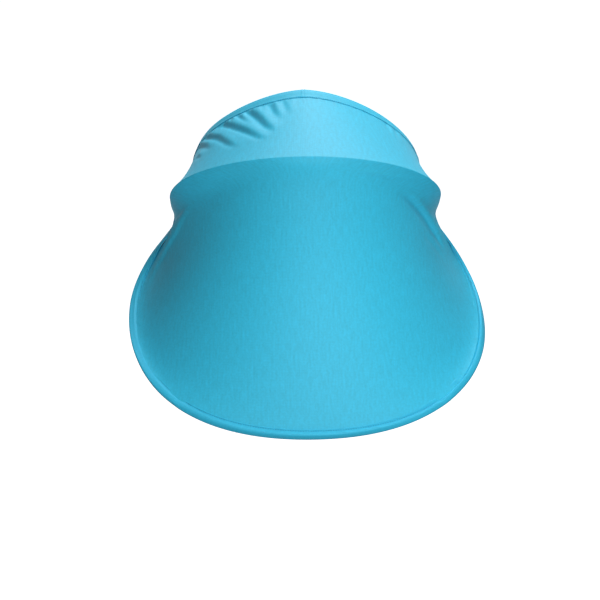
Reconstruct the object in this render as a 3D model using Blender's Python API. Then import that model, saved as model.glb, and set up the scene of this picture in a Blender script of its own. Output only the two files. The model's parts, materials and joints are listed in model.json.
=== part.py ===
"""Pram sun shade: a sprung brim on a stretch fabric sleeve that pulls over a pram's hood.

Metres, +Z up. The brim points along -Y and the sleeve's open rear hem along +Y. The origin is the middle
of the sleeve's shoulder, where it is widest, on the plane of symmetry.
"""

import functools
import math

import bmesh
import bpy
import numpy as np

# Sleeve: the ridge where it folds over the front of the hood, seen square to its own plane
RIDGE_HALF_WIDTH = 0.1718
RIDGE_HEIGHT = 0.093
RIDGE_RAKE = math.radians(25)
RIDGE_ROUNDNESS = 2.0
RIDGE_ROUNDING = 0.007
MOST_ROUNDED = 0.45
FOOT_DROP = 0.038
FOOT_ROUNDNESS = 3.0

# Sleeve: the gathered rear hem
HEM_HALF_WIDTH = 0.152
HEM_HEIGHT = 0.104
HEM_DROP = 0.011
HEM_SETBACK = 0.105
HEM_ROUNDNESS = 1.64
HEM_FOOT_ROUNDNESS = 1.64
BAND_WAIST = 0.010
WAIST_SKEW = 0.7
GATHER_PULL = 0.011
GATHER_PULL_START = 0.50
GATHERS = 6
FIRST_GATHER = -0.70
GATHER_SPACING = 0.095
GATHER_WIDTH = 0.036
GATHER_DEPTH = 0.0030
GATHER_REACH = 0.62
GATHER_ONSET = 0.33
GATHER_DRIFT = 0.42

# Brim: a vault that flattens towards the front, and the egg-shaped hoop that lies on it
BRIM_SLOPE_BACK = math.radians(40)
BRIM_SLOPE_FRONT = math.radians(44)
VAULT_RADIUS_FRONT = 1.9
RIDGE_TO_HOOP = 0.016
HOOP_HALF_WIDTH = 0.2165
HOOP_REAR_LENGTH = 0.150
HOOP_FRONT_LENGTH = 0.167
HOOP_FRONT_FULLNESS = 0.68
HOOP_SIDE_FULLNESS = 0.60
HOOP_REAR_FULLNESS = 0.62
HOOP_WAIST_FULLNESS = 0.60
CORNER_TUCK = 0.0069
CORNER_RISE = 0.010

# Cloth, wire and tape
CLOTH = 0.0012
WIRE_RADIUS = 0.0012
FERRULE_WALL = 0.0005
FERRULE_LENGTH = 0.024
RIM_WALL = 0.0010
RIM_LAP = 0.0022
ELASTIC_HALF_WIDTH = 0.0038
ELASTIC_HALF_THICKNESS = 0.0006
CASING_WALL = 0.0008
CASING_LAP = 0.0014
BINDING_WALL = 0.0009
BINDING_LAP = 0.0019

# Straps under the sleeve's lower edges
STRAP_WIDTH = 0.025
STRAP_THICKNESS = 0.0015
STRAP_TO_HEM = 0.043
STRAP_CORNER = 0.003
PATCH_LENGTH = 0.032
PATCH_THICKNESS = 0.0012
PATCH_SIDE_MARGIN = 0.0025
PATCH_TIP_MARGIN = 0.004
PATCH_SPACING = 0.014
LOOP_PATCH_DROP = 0.008

# Clearances
SEAM_GAP = 0.0003
SLOT_GAP = 0.0007
STRAP_GAP = 0.0005
WIRE_END_GAP = 0.0006
CORNER_GAP = 0.0010
EDGE_SETBACK = 0.0015
BINDING_END_GAP = 0.0045

# Derived sizes
HALF_CLOTH = CLOTH / 2
SLOT_HALF = HALF_CLOTH + SLOT_GAP
FERRULE_BORE = WIRE_RADIUS + SEAM_GAP
FERRULE_RADIUS = FERRULE_BORE + FERRULE_WALL
TUNNEL_RADIUS = max(FERRULE_RADIUS, SLOT_HALF) + SEAM_GAP
PANEL_INSET = TUNNEL_RADIUS + SEAM_GAP
RIM_HALF_DEPTH = TUNNEL_RADIUS + RIM_LAP
RIM_HALF_THICKNESS = TUNNEL_RADIUS + RIM_WALL
CASING_BORE_DEPTH = ELASTIC_HALF_WIDTH + SEAM_GAP
CASING_BORE_THICKNESS = max(ELASTIC_HALF_THICKNESS, SLOT_HALF) + SEAM_GAP
CASING_HALF_DEPTH = CASING_BORE_DEPTH + CASING_LAP
CASING_HALF_THICKNESS = CASING_BORE_THICKNESS + CASING_WALL
HEM_INSET = CASING_BORE_DEPTH + SEAM_GAP
BINDING_BORE = SLOT_HALF + SEAM_GAP
BINDING_HALF_DEPTH = BINDING_BORE + BINDING_LAP
BINDING_HALF_THICKNESS = BINDING_BORE + BINDING_WALL
BINDING_INSET = BINDING_BORE + SEAM_GAP
HOOP_LENGTH = HOOP_REAR_LENGTH + HOOP_FRONT_LENGTH
FRONT_EDGE_LIFT = RIM_HALF_THICKNESS + SEAM_GAP + HALF_CLOTH
PATCH_WIDTH = STRAP_WIDTH - 2 * PATCH_SIDE_MARGIN
STRAP_LENGTH = LOOP_PATCH_DROP + 2 * PATCH_LENGTH + PATCH_SPACING + PATCH_TIP_MARGIN
STRAP_SETBACK = HEM_SETBACK - STRAP_TO_HEM

# Facets
CURVE_STEPS = 60
HOOP_STATIONS = 120
ARCH_STATIONS = 50
GATHER_CROWDING = 0.5
BAND_ROWS = 7
RIM_STATIONS = 72
REAR_STATIONS = 24
BRIM_RINGS = 7
BRIM_SPOKES = 72
MOUTH_MARGIN = 0.002
TUBE_SIDES = 9
WIRE_SIDES = 6
ELASTIC_SIDES = 6
FERRULE_SIDES = 12
FERRULE_STATIONS = 5
CURVATURE_TRIES = 50

SKY_BLUE = (0.062, 0.479, 0.730, 1.0)
DEEP_BLUE = (0.040, 0.360, 0.590, 1.0)
COATED_STEEL = (0.450, 0.460, 0.470, 1.0)
CRIMPED_STEEL = (0.620, 0.620, 0.600, 1.0)
WHITE_ELASTIC = (0.780, 0.780, 0.760, 1.0)


def clear_scene():
    """Remove whatever the file opened with."""
    for thing in list(bpy.data.objects):
        bpy.data.objects.remove(thing, do_unlink=True)


def make_material(name, colour, roughness, metallic=0.0):
    """A Principled material with one plain colour."""
    made = bpy.data.materials.new(name)
    made.use_nodes = True
    shader = made.node_tree.nodes["Principled BSDF"]
    shader.inputs["Base Color"].default_value = colour
    shader.inputs["Roughness"].default_value = roughness
    shader.inputs["Metallic"].default_value = metallic
    return made


def add_object(name, shape, material):
    """Turn a bmesh into a named, smooth-shaded object."""
    bmesh.ops.recalc_face_normals(shape, faces=shape.faces)
    mesh = bpy.data.meshes.new(name)
    shape.to_mesh(mesh)
    shape.free()
    mesh.shade_smooth()
    mesh.set_sharp_from_angle(angle=math.radians(40))
    mesh.materials.append(material)
    made = bpy.data.objects.new(name, mesh)
    bpy.context.scene.collection.objects.link(made)
    return made


def add_pivot(name, location, rotation=0.0):
    """An empty on a joint's axis, which carries the pieces that turn about it."""
    pivot = bpy.data.objects.new(name, None)
    pivot.location = location
    pivot.rotation_euler = (0, 0, rotation)
    bpy.context.scene.collection.objects.link(pivot)
    bpy.context.view_layer.update()
    return pivot


def carry(pivot, pieces):
    """Parent the pieces to the pivot where they stand."""
    for piece in pieces:
        piece.parent = pivot
        piece.matrix_parent_inverse = pivot.matrix_world.inverted()


def bezier(start, first, second, end):
    """Points of one cubic curve."""
    t = np.linspace(0, 1, CURVE_STEPS)[:, None]
    start, first, second, end = (np.array(point, float) for point in (start, first, second, end))
    return (1 - t) ** 3 * start + 3 * (1 - t) ** 2 * t * first + 3 * (1 - t) * t**2 * second + t**3 * end


def distances(points):
    """The distance along a line of points, from its first point to each."""
    steps = np.linalg.norm(np.diff(points, axis=0), axis=1)
    return np.concatenate([[0.0], np.cumsum(steps)])


def spaced(points, fractions):
    """Points at these fractions of the line's length."""
    lengths = distances(points)
    where = np.asarray(fractions) * lengths[-1]
    return np.stack([np.interp(where, lengths, column) for column in points.T], axis=1)


def unit(vectors):
    """Each row scaled to length 1."""
    return vectors / np.linalg.norm(vectors, axis=1, keepdims=True)


def half_hoop():
    """The right half of the hoop on the vault as (x, distance down from the ridge), rear centre to front."""
    rear = RIDGE_TO_HOOP
    widest = rear + HOOP_REAR_LENGTH
    front = rear + HOOP_LENGTH
    back_part = bezier(
        (0, rear),
        (HOOP_HALF_WIDTH * HOOP_REAR_FULLNESS, rear),
        (HOOP_HALF_WIDTH, widest - HOOP_REAR_LENGTH * HOOP_WAIST_FULLNESS),
        (HOOP_HALF_WIDTH, widest),
    )
    front_part = bezier(
        (HOOP_HALF_WIDTH, widest),
        (HOOP_HALF_WIDTH, widest + HOOP_FRONT_LENGTH * HOOP_SIDE_FULLNESS),
        (HOOP_HALF_WIDTH * HOOP_FRONT_FULLNESS, front),
        (0, front),
    )
    return np.concatenate([back_part, front_part[1:]])


def corner_plan():
    """Where on the hoop the sleeve's right corner is sewn, as (x, distance down from the ridge)."""
    rear_half = half_hoop()[:CURVE_STEPS]
    x = RIDGE_HALF_WIDTH - CORNER_TUCK
    return x, np.interp(x, rear_half[:, 0], rear_half[:, 1])


def down_vault(down):
    """The slope of the vault's middle line, and how far the line runs forward and drops, at distances down it."""
    length = RIDGE_TO_HOOP + HOOP_LENGTH
    bend = (BRIM_SLOPE_FRONT - BRIM_SLOPE_BACK) / length
    middle = BRIM_SLOPE_BACK + bend * down / 2
    chord = down * np.sinc(bend * down / 2 / math.pi)
    forward = RIDGE_HEIGHT * math.sin(RIDGE_RAKE) + chord * np.cos(middle)
    height = RIDGE_HEIGHT * math.cos(RIDGE_RAKE) - chord * np.sin(middle)
    return BRIM_SLOPE_BACK + bend * down, forward, height


def fall_aside(x, radius):
    """How far the vault falls at x from its middle line, close to a circle near it and opening out beyond."""
    aside = x / radius
    return radius * (aside**2 / 2 + aside**4 / 8 + aside**6 / 16)


@functools.cache
def rear_curvature():
    """The vault's curvature at the ridge, which brings the sleeve's corners to their height above its feet."""
    x, down = corner_plan()
    slope, _, height = down_vault(down)
    fall = (height + FOOT_DROP - CORNER_RISE) / math.cos(slope)
    tight, open_wide = x / 4, x * 40
    for _ in range(CURVATURE_TRIES):
        radius = (tight + open_wide) / 2
        if fall_aside(x, radius) > fall:
            tight = radius
        else:
            open_wide = radius
    share = down / (RIDGE_TO_HOOP + HOOP_LENGTH)
    return (1 / radius - share / VAULT_RADIUS_FRONT) / (1 - share)


def on_vault(plan):
    """Places on the brim's vault, for rows of (x, distance down from the ridge)."""
    x, down = plan[:, 0], plan[:, 1]
    slope, forward, height = down_vault(down)
    share = np.clip(down / (RIDGE_TO_HOOP + HOOP_LENGTH), 0, 1)
    fall = fall_aside(x, 1 / ((1 - share) * rear_curvature() + share / VAULT_RADIUS_FRONT))
    return np.stack([x, fall * np.sin(slope) - forward, height - fall * np.cos(slope)], axis=1)


def vault_normals(plan):
    """The vault's upward normals, from small steps across and down it."""
    step = 1e-4
    across = on_vault(plan + (step, 0)) - on_vault(plan - (step, 0))
    down = on_vault(plan + (0, step)) - on_vault(plan - (0, step))
    return unit(np.cross(down, across))


def directions(points):
    """The direction of the line at each point, halfway between those of the stretches that meet there."""
    runs = unit(np.diff(points, axis=0))
    return unit(np.concatenate([runs[:1], runs[:-1] + runs[1:], runs[-1:]]))


class Line:
    """A line of points with, at each, the direction out of the cloth's edge and the cloth's normal."""

    def __init__(self, points, ups, outward):
        tangents = directions(points)
        ups = unit(ups - tangents * np.sum(ups * tangents, axis=1)[:, None])
        outs = np.cross(tangents, ups)
        facing = np.sign(np.sum(outs * outward, axis=1))[:, None]
        self.points, self.outs, self.ups = points, outs * facing, ups

    def offset(self, out, up):
        """The line moved out of the edge and up from the cloth."""
        return self.points + self.outs * out + self.ups * up


def hoop_plan(start, end, stations):
    """Stations round the hoop on the vault. 0 is the rear centre, 0.5 the front and 1 the rear centre again."""
    right = half_hoop()
    left = right[::-1] * (-1, 1)
    return spaced(np.concatenate([right, left[1:]]), np.linspace(start, end, stations))


def hoop_line(start, end, stations):
    """The hoop's centre line between two shares of its length, with its directions."""
    plan = hoop_plan(start, end, stations)
    middle = np.array([[0.0, RIDGE_TO_HOOP + HOOP_REAR_LENGTH]])
    return Line(on_vault(plan), vault_normals(plan), on_vault(plan) - on_vault(middle))


def corner_share():
    """The share of the hoop's length, from the rear centre, at which the sleeve's corner is sewn on."""
    right = half_hoop()
    lengths = distances(right)
    at = np.interp(corner_plan()[0], right[:CURVE_STEPS, 0], lengths[:CURVE_STEPS])
    return at / lengths[-1] / 2


def arch(half_width, height, roundness, drop, foot_roundness):
    """The right half of an arch from its top down to a foot below its springing, as rows of (x, height)."""
    above = height * np.sin(np.linspace(1, 0, CURVE_STEPS) * math.pi / 2)
    below = -np.linspace(0, drop, CURVE_STEPS)[1:]
    halves = []
    for level, power in ((above, roundness), (below, foot_roundness)):
        x = half_width * (1 - np.abs(level / height) ** power) ** (1 / power)
        halves.append(np.stack([x, level], axis=1))
    return np.concatenate(halves)


def mirrored(half, shares):
    """Points at shares -1 to 1 of an arch, of which half is the right side from top to foot."""
    points = spaced(half, np.abs(shares))
    points[:, 0] *= np.sign(shares)
    return points


def ridge_points(shares):
    """The fold over the front of the hood, in its raked plane."""
    drop = FOOT_DROP / math.cos(RIDGE_RAKE)
    flat = mirrored(arch(RIDGE_HALF_WIDTH, RIDGE_HEIGHT, RIDGE_ROUNDNESS, drop, FOOT_ROUNDNESS), shares)
    return np.stack([flat[:, 0], -flat[:, 1] * math.sin(RIDGE_RAKE), flat[:, 1] * math.cos(RIDGE_RAKE)], axis=1)


def hem_points(shares):
    """The middle of the rear hem's casing, in an upright plane."""
    drop = FOOT_DROP - HEM_DROP
    flat = mirrored(arch(HEM_HALF_WIDTH, HEM_HEIGHT, HEM_ROUNDNESS, drop, HEM_FOOT_ROUNDNESS), shares)
    pulled = np.clip((-shares - GATHER_PULL_START) / (1 - GATHER_PULL_START), 0, 1)
    x = flat[:, 0] + GATHER_PULL * np.sin(pulled * math.pi / 2) ** 2
    return np.stack([x, np.full(len(flat), HEM_SETBACK), flat[:, 1] - HEM_DROP], axis=1)


def beside_hoop(shares, out, up):
    """A row of the sleeve's cloth beside the hoop's rear arc, from corner to corner."""
    right = hoop_line(0, corner_share(), CURVE_STEPS).offset(out, up)
    return mirrored(right, shares)


def arch_shares():
    """Shares from the left foot at -1 to the right foot at 1, closer together where the gathers are."""
    even = np.linspace(0, 1, ARCH_STATIONS + 1)
    middle = (1 + FIRST_GATHER + GATHERS * GATHER_SPACING / 2 + GATHER_DRIFT / 4) / 2
    phase = 2 * math.pi * (even + 0.5 - middle)
    shift = GATHER_CROWDING * (np.sin(phase) - math.sin(phase[0])) / (2 * math.pi)
    return 2 * (even + shift) - 1


def gathers(shares, ahead):
    """How far the gathers lift the cloth, where ahead is 0 at the hem and 1 at the ridge."""
    fade = max(0.0, 1 - ahead / GATHER_REACH) * math.sin(math.pi * min(1, ahead / GATHER_ONSET) / 2)
    lift = np.zeros(len(shares))
    for number in range(GATHERS):
        middle = FIRST_GATHER + number * GATHER_SPACING + GATHER_DRIFT * ahead
        lift += GATHER_DEPTH * fade * np.exp(-(((shares - middle) / GATHER_WIDTH) ** 2))
    return lift


def waist(shares, share):
    """How far a row of the band is drawn in, where share is 0 at the ridge and 1 at the hem."""
    return BAND_WAIST * math.sin(math.pi * share**WAIST_SKEW) * shares * np.abs(shares)


def sleeve_rows():
    """Rows of points across the sleeve's cloth, from its front edge over the hoop and the ridge to the hem."""
    shares = arch_shares()
    ridge, hem = ridge_points(shares), hem_points(shares)
    front = beside_hoop(shares, EDGE_SETBACK, FRONT_EDGE_LIFT)
    shoulder = beside_hoop(shares, RIM_HALF_DEPTH + SEAM_GAP + CLOTH, FRONT_EDGE_LIFT / 2)
    to_front, to_hem = unit(shoulder - ridge), unit(hem - ridge)
    rounding = np.minimum(RIDGE_ROUNDING, MOST_ROUNDED * np.linalg.norm(shoulder - ridge, axis=1))[:, None]
    before, after = ridge + to_front * rounding, ridge + to_hem * rounding
    rear = hem - to_hem * HEM_INSET
    outward = unit(np.cross(directions(ridge), to_hem))
    rows = [front, shoulder, (shoulder + before) / 2, before, (before + 2 * ridge + after) / 4]
    for share in np.linspace(0, 1, BAND_ROWS):
        lift = gathers(shares, 1 - share)
        row = after + (rear - after) * share + outward * lift[:, None]
        row[:, 0] -= waist(shares, share)
        rows.append(row)
    return rows


def solidify(thing, thickness):
    """Give a sheet its thickness, half to each side."""
    modifier = thing.modifiers.new("cloth thickness", "SOLIDIFY")
    modifier.thickness = thickness
    modifier.offset = 0
    modifier.use_even_offset = True


def make_sheet(name, rows, material):
    """A cloth sheet through rows of points."""
    shape = bmesh.new()
    grid = [[shape.verts.new(point) for point in row] for row in rows]
    for near, far in zip(grid, grid[1:]):
        for a, b, c, d in zip(near, near[1:], far[1:], far):
            shape.faces.new((a, b, c, d))
    made = add_object(name, shape, material)
    solidify(made, CLOTH)
    return made


def sweep(name, line, profile, material, closed=False):
    """Carry a closed profile of (out, up) points along a line, with flat ends unless the line closes."""
    shape = bmesh.new()
    rings = []
    for point, out, up in zip(line.points, line.outs, line.ups):
        rings.append([shape.verts.new(point + out * a + up * b) for a, b in profile])
    pairs = list(zip(rings, rings[1:]))
    if closed:
        pairs.append((rings[-1], rings[0]))
    for near, far in pairs:
        for i in range(len(profile)):
            j = (i + 1) % len(profile)
            shape.faces.new((near[i], near[j], far[j], far[i]))
    if not closed:
        shape.faces.new(rings[0])
        shape.faces.new(reversed(rings[-1]))
    return add_object(name, shape, material)


def oval(half_depth, half_thickness, sides):
    """A closed oval profile."""
    turns = [2 * math.pi * i / sides for i in range(sides)]
    return [(half_depth * math.cos(turn), half_thickness * math.sin(turn)) for turn in turns]


def slotted_oval(half_depth, half_thickness, bore_depth, bore_thickness):
    """A folded tape's profile: an oval tunnel with a slot on its inner side for the cloth's edge."""
    points = []
    for depth, thickness, direction in ((half_depth, half_thickness, 1), (bore_depth, bore_thickness, -1)):
        reach = math.pi - math.asin(SLOT_HALF / thickness)
        turns = [direction * reach * (1 - 2 * i / (TUBE_SIDES - 1)) for i in range(TUBE_SIDES)]
        points += [(depth * math.cos(turn), thickness * math.sin(turn)) for turn in turns]
    return points


def make_sleeve(cloth, trim, elastic):
    """The band round the hood, its rear casing with the elastic inside, and its bound lower edges' lines."""
    rows = sleeve_rows()
    make_sheet("sleeve_panel", rows, cloth)
    shares = arch_shares()
    hem, ridge = hem_points(shares), ridge_points(shares)
    away = hem - ridge
    ups = np.cross(directions(hem), away)
    hem_line = Line(hem, ups, away)
    casing = slotted_oval(CASING_HALF_DEPTH, CASING_HALF_THICKNESS, CASING_BORE_DEPTH, CASING_BORE_THICKNESS)
    sweep("hem_casing", hem_line, casing, cloth)
    sweep("hem_elastic", hem_line, oval(ELASTIC_HALF_WIDTH, ELASTIC_HALF_THICKNESS, ELASTIC_SIDES), elastic)
    tape = slotted_oval(BINDING_HALF_DEPTH, BINDING_HALF_THICKNESS, BINDING_BORE, BINDING_BORE)
    edges = {side: side_line(rows, side) for side in (-1, 1)}
    for name, side in (("left_side_binding", -1), ("right_side_binding", 1)):
        sweep(name, edges[side], tape, trim)
    return edges


def side_line(rows, side):
    """The centre line of one lower edge's binding, between the hoop and the hem's casing."""
    column = 0 if side < 0 else -1
    next_column = 1 if side < 0 else -2
    edge = np.array([row[column] for row in rows])
    inner = np.array([row[next_column] for row in rows])
    shares = distances(edge) / distances(edge)[-1]
    start = (RIM_HALF_DEPTH + BINDING_END_GAP) / distances(edge)[-1]
    end = 1 - (CASING_HALF_DEPTH - HEM_INSET + BINDING_END_GAP) / distances(edge)[-1]
    between = shares[(shares > start) & (shares < end)]
    fractions = np.concatenate([[start], between, [end]])
    edge, inner = spaced(edge, fractions), spaced(inner, fractions)
    ups = np.cross(directions(edge), edge - inner) * -side
    line = Line(edge, ups, edge - inner)
    return Line(line.offset(BINDING_INSET, 0), line.ups, edge - inner)


def make_brim(cloth, trim, wire_finish, ferrule_finish):
    """The sprung brim: hoop, ferrule, the tape round its rim, the channel over its rear arc and the cloth."""
    corner = corner_share()
    length = distances(hoop_line(0, 1, 2 * HOOP_STATIONS).points)[-1]
    gap = WIRE_END_GAP / 2 / length
    whole = hoop_line(gap, 1 - gap, HOOP_STATIONS)
    half_ferrule = FERRULE_LENGTH / 2 / length
    tunnel = slotted_oval(RIM_HALF_DEPTH, RIM_HALF_THICKNESS, TUNNEL_RADIUS, TUNNEL_RADIUS)
    pieces = [sweep("hoop_wire", whole, oval(WIRE_RADIUS, WIRE_RADIUS, WIRE_SIDES), wire_finish)]
    pieces.append(make_ferrule(half_ferrule, ferrule_finish))
    seam = CORNER_GAP / 2 / length
    rim = hoop_line(corner + seam, 1 - corner - seam, RIM_STATIONS)
    pieces.append(sweep("rim_binding", rim, tunnel, trim))
    pieces.append(sweep("rear_channel", rear_line(corner - seam), tunnel, trim))
    pieces.append(make_brim_panel(cloth))
    return pieces


def rear_line(reach):
    """The hoop's rear arc, from the left corner over the centre to the right corner."""
    right = hoop_plan(0, reach, REAR_STATIONS)
    plan = np.concatenate([right[::-1] * (-1, 1), right[1:]])
    middle = np.array([[0.0, RIDGE_TO_HOOP + HOOP_REAR_LENGTH]])
    return Line(on_vault(plan), vault_normals(plan), on_vault(plan) - on_vault(middle))


def make_ferrule(half_length, material):
    """The crimped tube that joins the ends of the hoop, open right through."""
    line = rear_line(half_length)
    stations = np.linspace(0, len(line.points) - 1, FERRULE_STATIONS).astype(int)
    outer = oval(FERRULE_RADIUS, FERRULE_RADIUS, FERRULE_SIDES)
    inner = oval(FERRULE_BORE, FERRULE_BORE, FERRULE_SIDES)
    shape = bmesh.new()
    walls = []
    for profile in (outer, inner):
        rings = []
        for i in stations:
            point, out, up = line.points[i], line.outs[i], line.ups[i]
            rings.append([shape.verts.new(point + out * a + up * b) for a, b in profile])
        walls.append(rings)
    outside, inside = walls
    loops = outside + inside[::-1]
    for near, far in zip(loops, loops[1:] + loops[:1]):
        for i in range(FERRULE_SIDES):
            j = (i + 1) % FERRULE_SIDES
            shape.faces.new((near[i], near[j], far[j], far[i]))
    return add_object("hoop_ferrule", shape, material)


def make_brim_panel(cloth):
    """The brim's cloth: rings that spread from the middle of the vault to the edge inside the tunnel."""
    rim_plan = hoop_plan(0, 1, BRIM_SPOKES + 1)[:-1]
    middle = np.array([0.0, RIDGE_TO_HOOP + HOOP_REAR_LENGTH])
    hoop = hoop_line(0, 1, BRIM_SPOKES + 1)
    mouth = hoop.offset(-RIM_HALF_DEPTH - MOUTH_MARGIN, 0)[:-1]
    edge = hoop.offset(-PANEL_INSET, 0)[:-1]
    shape = bmesh.new()
    centre = shape.verts.new(on_vault(middle[None, :])[0])
    rings = []
    for ring in range(1, BRIM_RINGS):
        points = on_vault(middle + (rim_plan - middle) * ring / BRIM_RINGS)
        rings.append([shape.verts.new(point) for point in points])
    for outline in (mouth, edge):
        rings.append([shape.verts.new(point) for point in outline])
    for i in range(BRIM_SPOKES):
        j = (i + 1) % BRIM_SPOKES
        shape.faces.new((centre, rings[0][i], rings[0][j]))
        for near, far in zip(rings, rings[1:]):
            shape.faces.new((near[i], far[i], far[j], near[j]))
    made = add_object("brim_panel", shape, cloth)
    solidify(made, CLOTH)
    return made


def make_plate(name, size, top, face, material):
    """A strap or patch hanging along -Z from its top, with its outer side at face and its corners rounded."""
    length, width, thickness = size
    shape = bmesh.new()
    bmesh.ops.create_cube(shape, size=1)
    bmesh.ops.scale(shape, vec=(thickness, width, length), verts=shape.verts)
    bmesh.ops.translate(shape, vec=(face + thickness / 2, 0, top - length / 2), verts=shape.verts)
    corners = [edge for edge in shape.edges if abs(edge.verts[0].co.x - edge.verts[1].co.x) > thickness / 2]
    bmesh.ops.bevel(shape, geom=corners, offset=STRAP_CORNER, segments=3, affect="EDGES", profile=0.5, material=-1)
    return add_object(name, shape, material)


def make_strap(side, tape_line, band, hooks, loops):
    """One fastening strap, which hangs from a lower edge's binding and swings in under the sleeve."""
    name = "left" if side < 0 else "right"
    order = np.argsort(tape_line.points[:, 1])
    points = tape_line.points[order]
    ends = STRAP_SETBACK + np.array([-0.5, 0, 0.5]) * STRAP_WIDTH
    across = np.interp(ends, points[:, 1], points[:, 0])
    turn = math.atan2(across[0] - across[2], STRAP_WIDTH) + (math.pi if side > 0 else 0)
    reach = np.hypot(BINDING_HALF_DEPTH * tape_line.outs[:, 2], BINDING_HALF_THICKNESS * tape_line.ups[:, 2])
    underside = np.interp(ends, points[:, 1], (tape_line.points[:, 2] - reach)[order])
    hinge = min(underside) - STRAP_GAP - STRAP_THICKNESS / 2
    pivot = add_pivot(f"{name}_strap_pivot", (across[1], STRAP_SETBACK, hinge), turn)
    top = STRAP_THICKNESS / 2
    face = STRAP_THICKNESS / 2 + SEAM_GAP
    hook_top = top - STRAP_LENGTH + PATCH_TIP_MARGIN + PATCH_LENGTH
    loop_top = top - LOOP_PATCH_DROP
    patch = (PATCH_LENGTH, PATCH_WIDTH, PATCH_THICKNESS)
    pieces = [
        make_plate(f"{name}_strap", (STRAP_LENGTH, STRAP_WIDTH, STRAP_THICKNESS), top, -top, band),
        make_plate(f"{name}_hook_patch", patch, hook_top, face, hooks),
        make_plate(f"{name}_loop_patch", patch, loop_top, face, loops),
    ]
    for piece in pieces:
        piece.parent = pivot


def make_shade():
    """Build every piece at rest."""
    cloth = make_material("sky blue stretch cloth", SKY_BLUE, 0.78)
    trim = make_material("sky blue bias tape", SKY_BLUE, 0.72)
    elastic = make_material("white woven elastic", WHITE_ELASTIC, 0.80)
    band = make_material("blue woven strap", DEEP_BLUE, 0.80)
    hooks = make_material("hook tape", DEEP_BLUE, 0.60)
    loops = make_material("loop tape", DEEP_BLUE, 0.95)
    wire = make_material("coated spring steel", COATED_STEEL, 0.35, 1.0)
    ferrule = make_material("crimped steel", CRIMPED_STEEL, 0.30, 1.0)
    edges = make_sleeve(cloth, trim, elastic)
    hinge = add_pivot("brim_pivot", hoop_line(0, 0.01, 2).points[0])
    carry(hinge, make_brim(cloth, trim, wire, ferrule))
    for side in (-1, 1):
        make_strap(side, edges[side], band, hooks, loops)


clear_scene()
make_shade()
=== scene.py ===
"""Pram sun shade, dressed: cloth, tapes, elastic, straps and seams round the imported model.

Metres, +Z up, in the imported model's own frame. The brim points along -Y and the rear hem lies along +Y.
"""

import json
import logging
import math
import random
from dataclasses import dataclass
from enum import Enum
from functools import cached_property

import bmesh
import bpy
import numpy as np
from mathutils import Matrix, Vector

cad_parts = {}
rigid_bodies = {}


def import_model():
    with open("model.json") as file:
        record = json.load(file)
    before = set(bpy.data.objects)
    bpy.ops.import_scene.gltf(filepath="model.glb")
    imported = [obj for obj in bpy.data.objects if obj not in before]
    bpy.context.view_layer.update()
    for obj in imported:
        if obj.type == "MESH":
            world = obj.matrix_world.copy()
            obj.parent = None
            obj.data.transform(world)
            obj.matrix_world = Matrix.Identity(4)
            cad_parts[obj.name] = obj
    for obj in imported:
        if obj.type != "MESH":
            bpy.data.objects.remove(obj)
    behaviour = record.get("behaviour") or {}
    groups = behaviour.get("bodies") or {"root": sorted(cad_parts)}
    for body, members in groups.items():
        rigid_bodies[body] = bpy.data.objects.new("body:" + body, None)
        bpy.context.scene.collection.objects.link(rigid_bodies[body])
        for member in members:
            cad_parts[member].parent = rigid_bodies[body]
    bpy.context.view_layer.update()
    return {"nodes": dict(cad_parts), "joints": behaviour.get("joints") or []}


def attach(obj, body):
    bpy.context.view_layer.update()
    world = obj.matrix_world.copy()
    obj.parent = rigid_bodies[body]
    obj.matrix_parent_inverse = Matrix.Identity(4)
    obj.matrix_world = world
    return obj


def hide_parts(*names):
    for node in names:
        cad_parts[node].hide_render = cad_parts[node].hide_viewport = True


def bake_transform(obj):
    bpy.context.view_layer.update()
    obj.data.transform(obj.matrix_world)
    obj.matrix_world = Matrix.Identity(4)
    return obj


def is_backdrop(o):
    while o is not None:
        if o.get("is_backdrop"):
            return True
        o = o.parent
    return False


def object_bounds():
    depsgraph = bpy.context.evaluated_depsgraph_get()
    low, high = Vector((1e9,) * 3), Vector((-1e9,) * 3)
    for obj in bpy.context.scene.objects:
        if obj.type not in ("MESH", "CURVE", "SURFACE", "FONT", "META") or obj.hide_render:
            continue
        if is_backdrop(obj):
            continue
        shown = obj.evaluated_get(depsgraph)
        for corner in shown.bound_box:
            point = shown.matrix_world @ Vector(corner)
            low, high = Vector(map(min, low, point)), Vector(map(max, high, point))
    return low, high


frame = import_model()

logging.basicConfig(level=logging.INFO, format="%(message)s")
log = logging.getLogger("sun shade")

Points = np.ndarray
Pair = tuple[float, float]
Table = tuple[Pair, ...]
MM = 0.001
CURVE_STEPS = 60
NOISE_SPAN = (0.3, 0.7)
WEAVE = "weave"


class Body(Enum):
    """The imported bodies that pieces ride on."""

    SLEEVE = "hood_sleeve"
    BRIM = "brim"


class Side(Enum):
    """The two sides of the shade, with the sign of x on each."""

    LEFT = -1
    RIGHT = 1

    @property
    def word(self) -> str:
        """The side's name, as the nodes spell it."""
        return self.name.lower()

    @property
    def strap_body(self) -> str:
        """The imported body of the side's strap."""
        return f"{self.word}_strap_body"


# Lines and curves


def bezier(start: tuple, first: tuple, second: tuple, end: tuple) -> Points:
    """Trace one cubic curve.

    Args:
        start: Where the curve starts.
        first: The handle that it leaves the start towards.
        second: The handle that it reaches the end from.
        end: Where the curve ends.

    Returns:
        Points along the curve, one in each row.
    """
    t = np.linspace(0, 1, CURVE_STEPS)[:, None]
    start, first, second, end = (np.array(point, float) for point in (start, first, second, end))
    return (1 - t) ** 3 * start + 3 * (1 - t) ** 2 * t * first + 3 * (1 - t) * t**2 * second + t**3 * end


def distances(points: Points) -> Points:
    """Return the distance along a line of points, from its first point to each."""
    steps = np.linalg.norm(np.diff(points, axis=0), axis=1)
    return np.concatenate([[0.0], np.cumsum(steps)])


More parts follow.
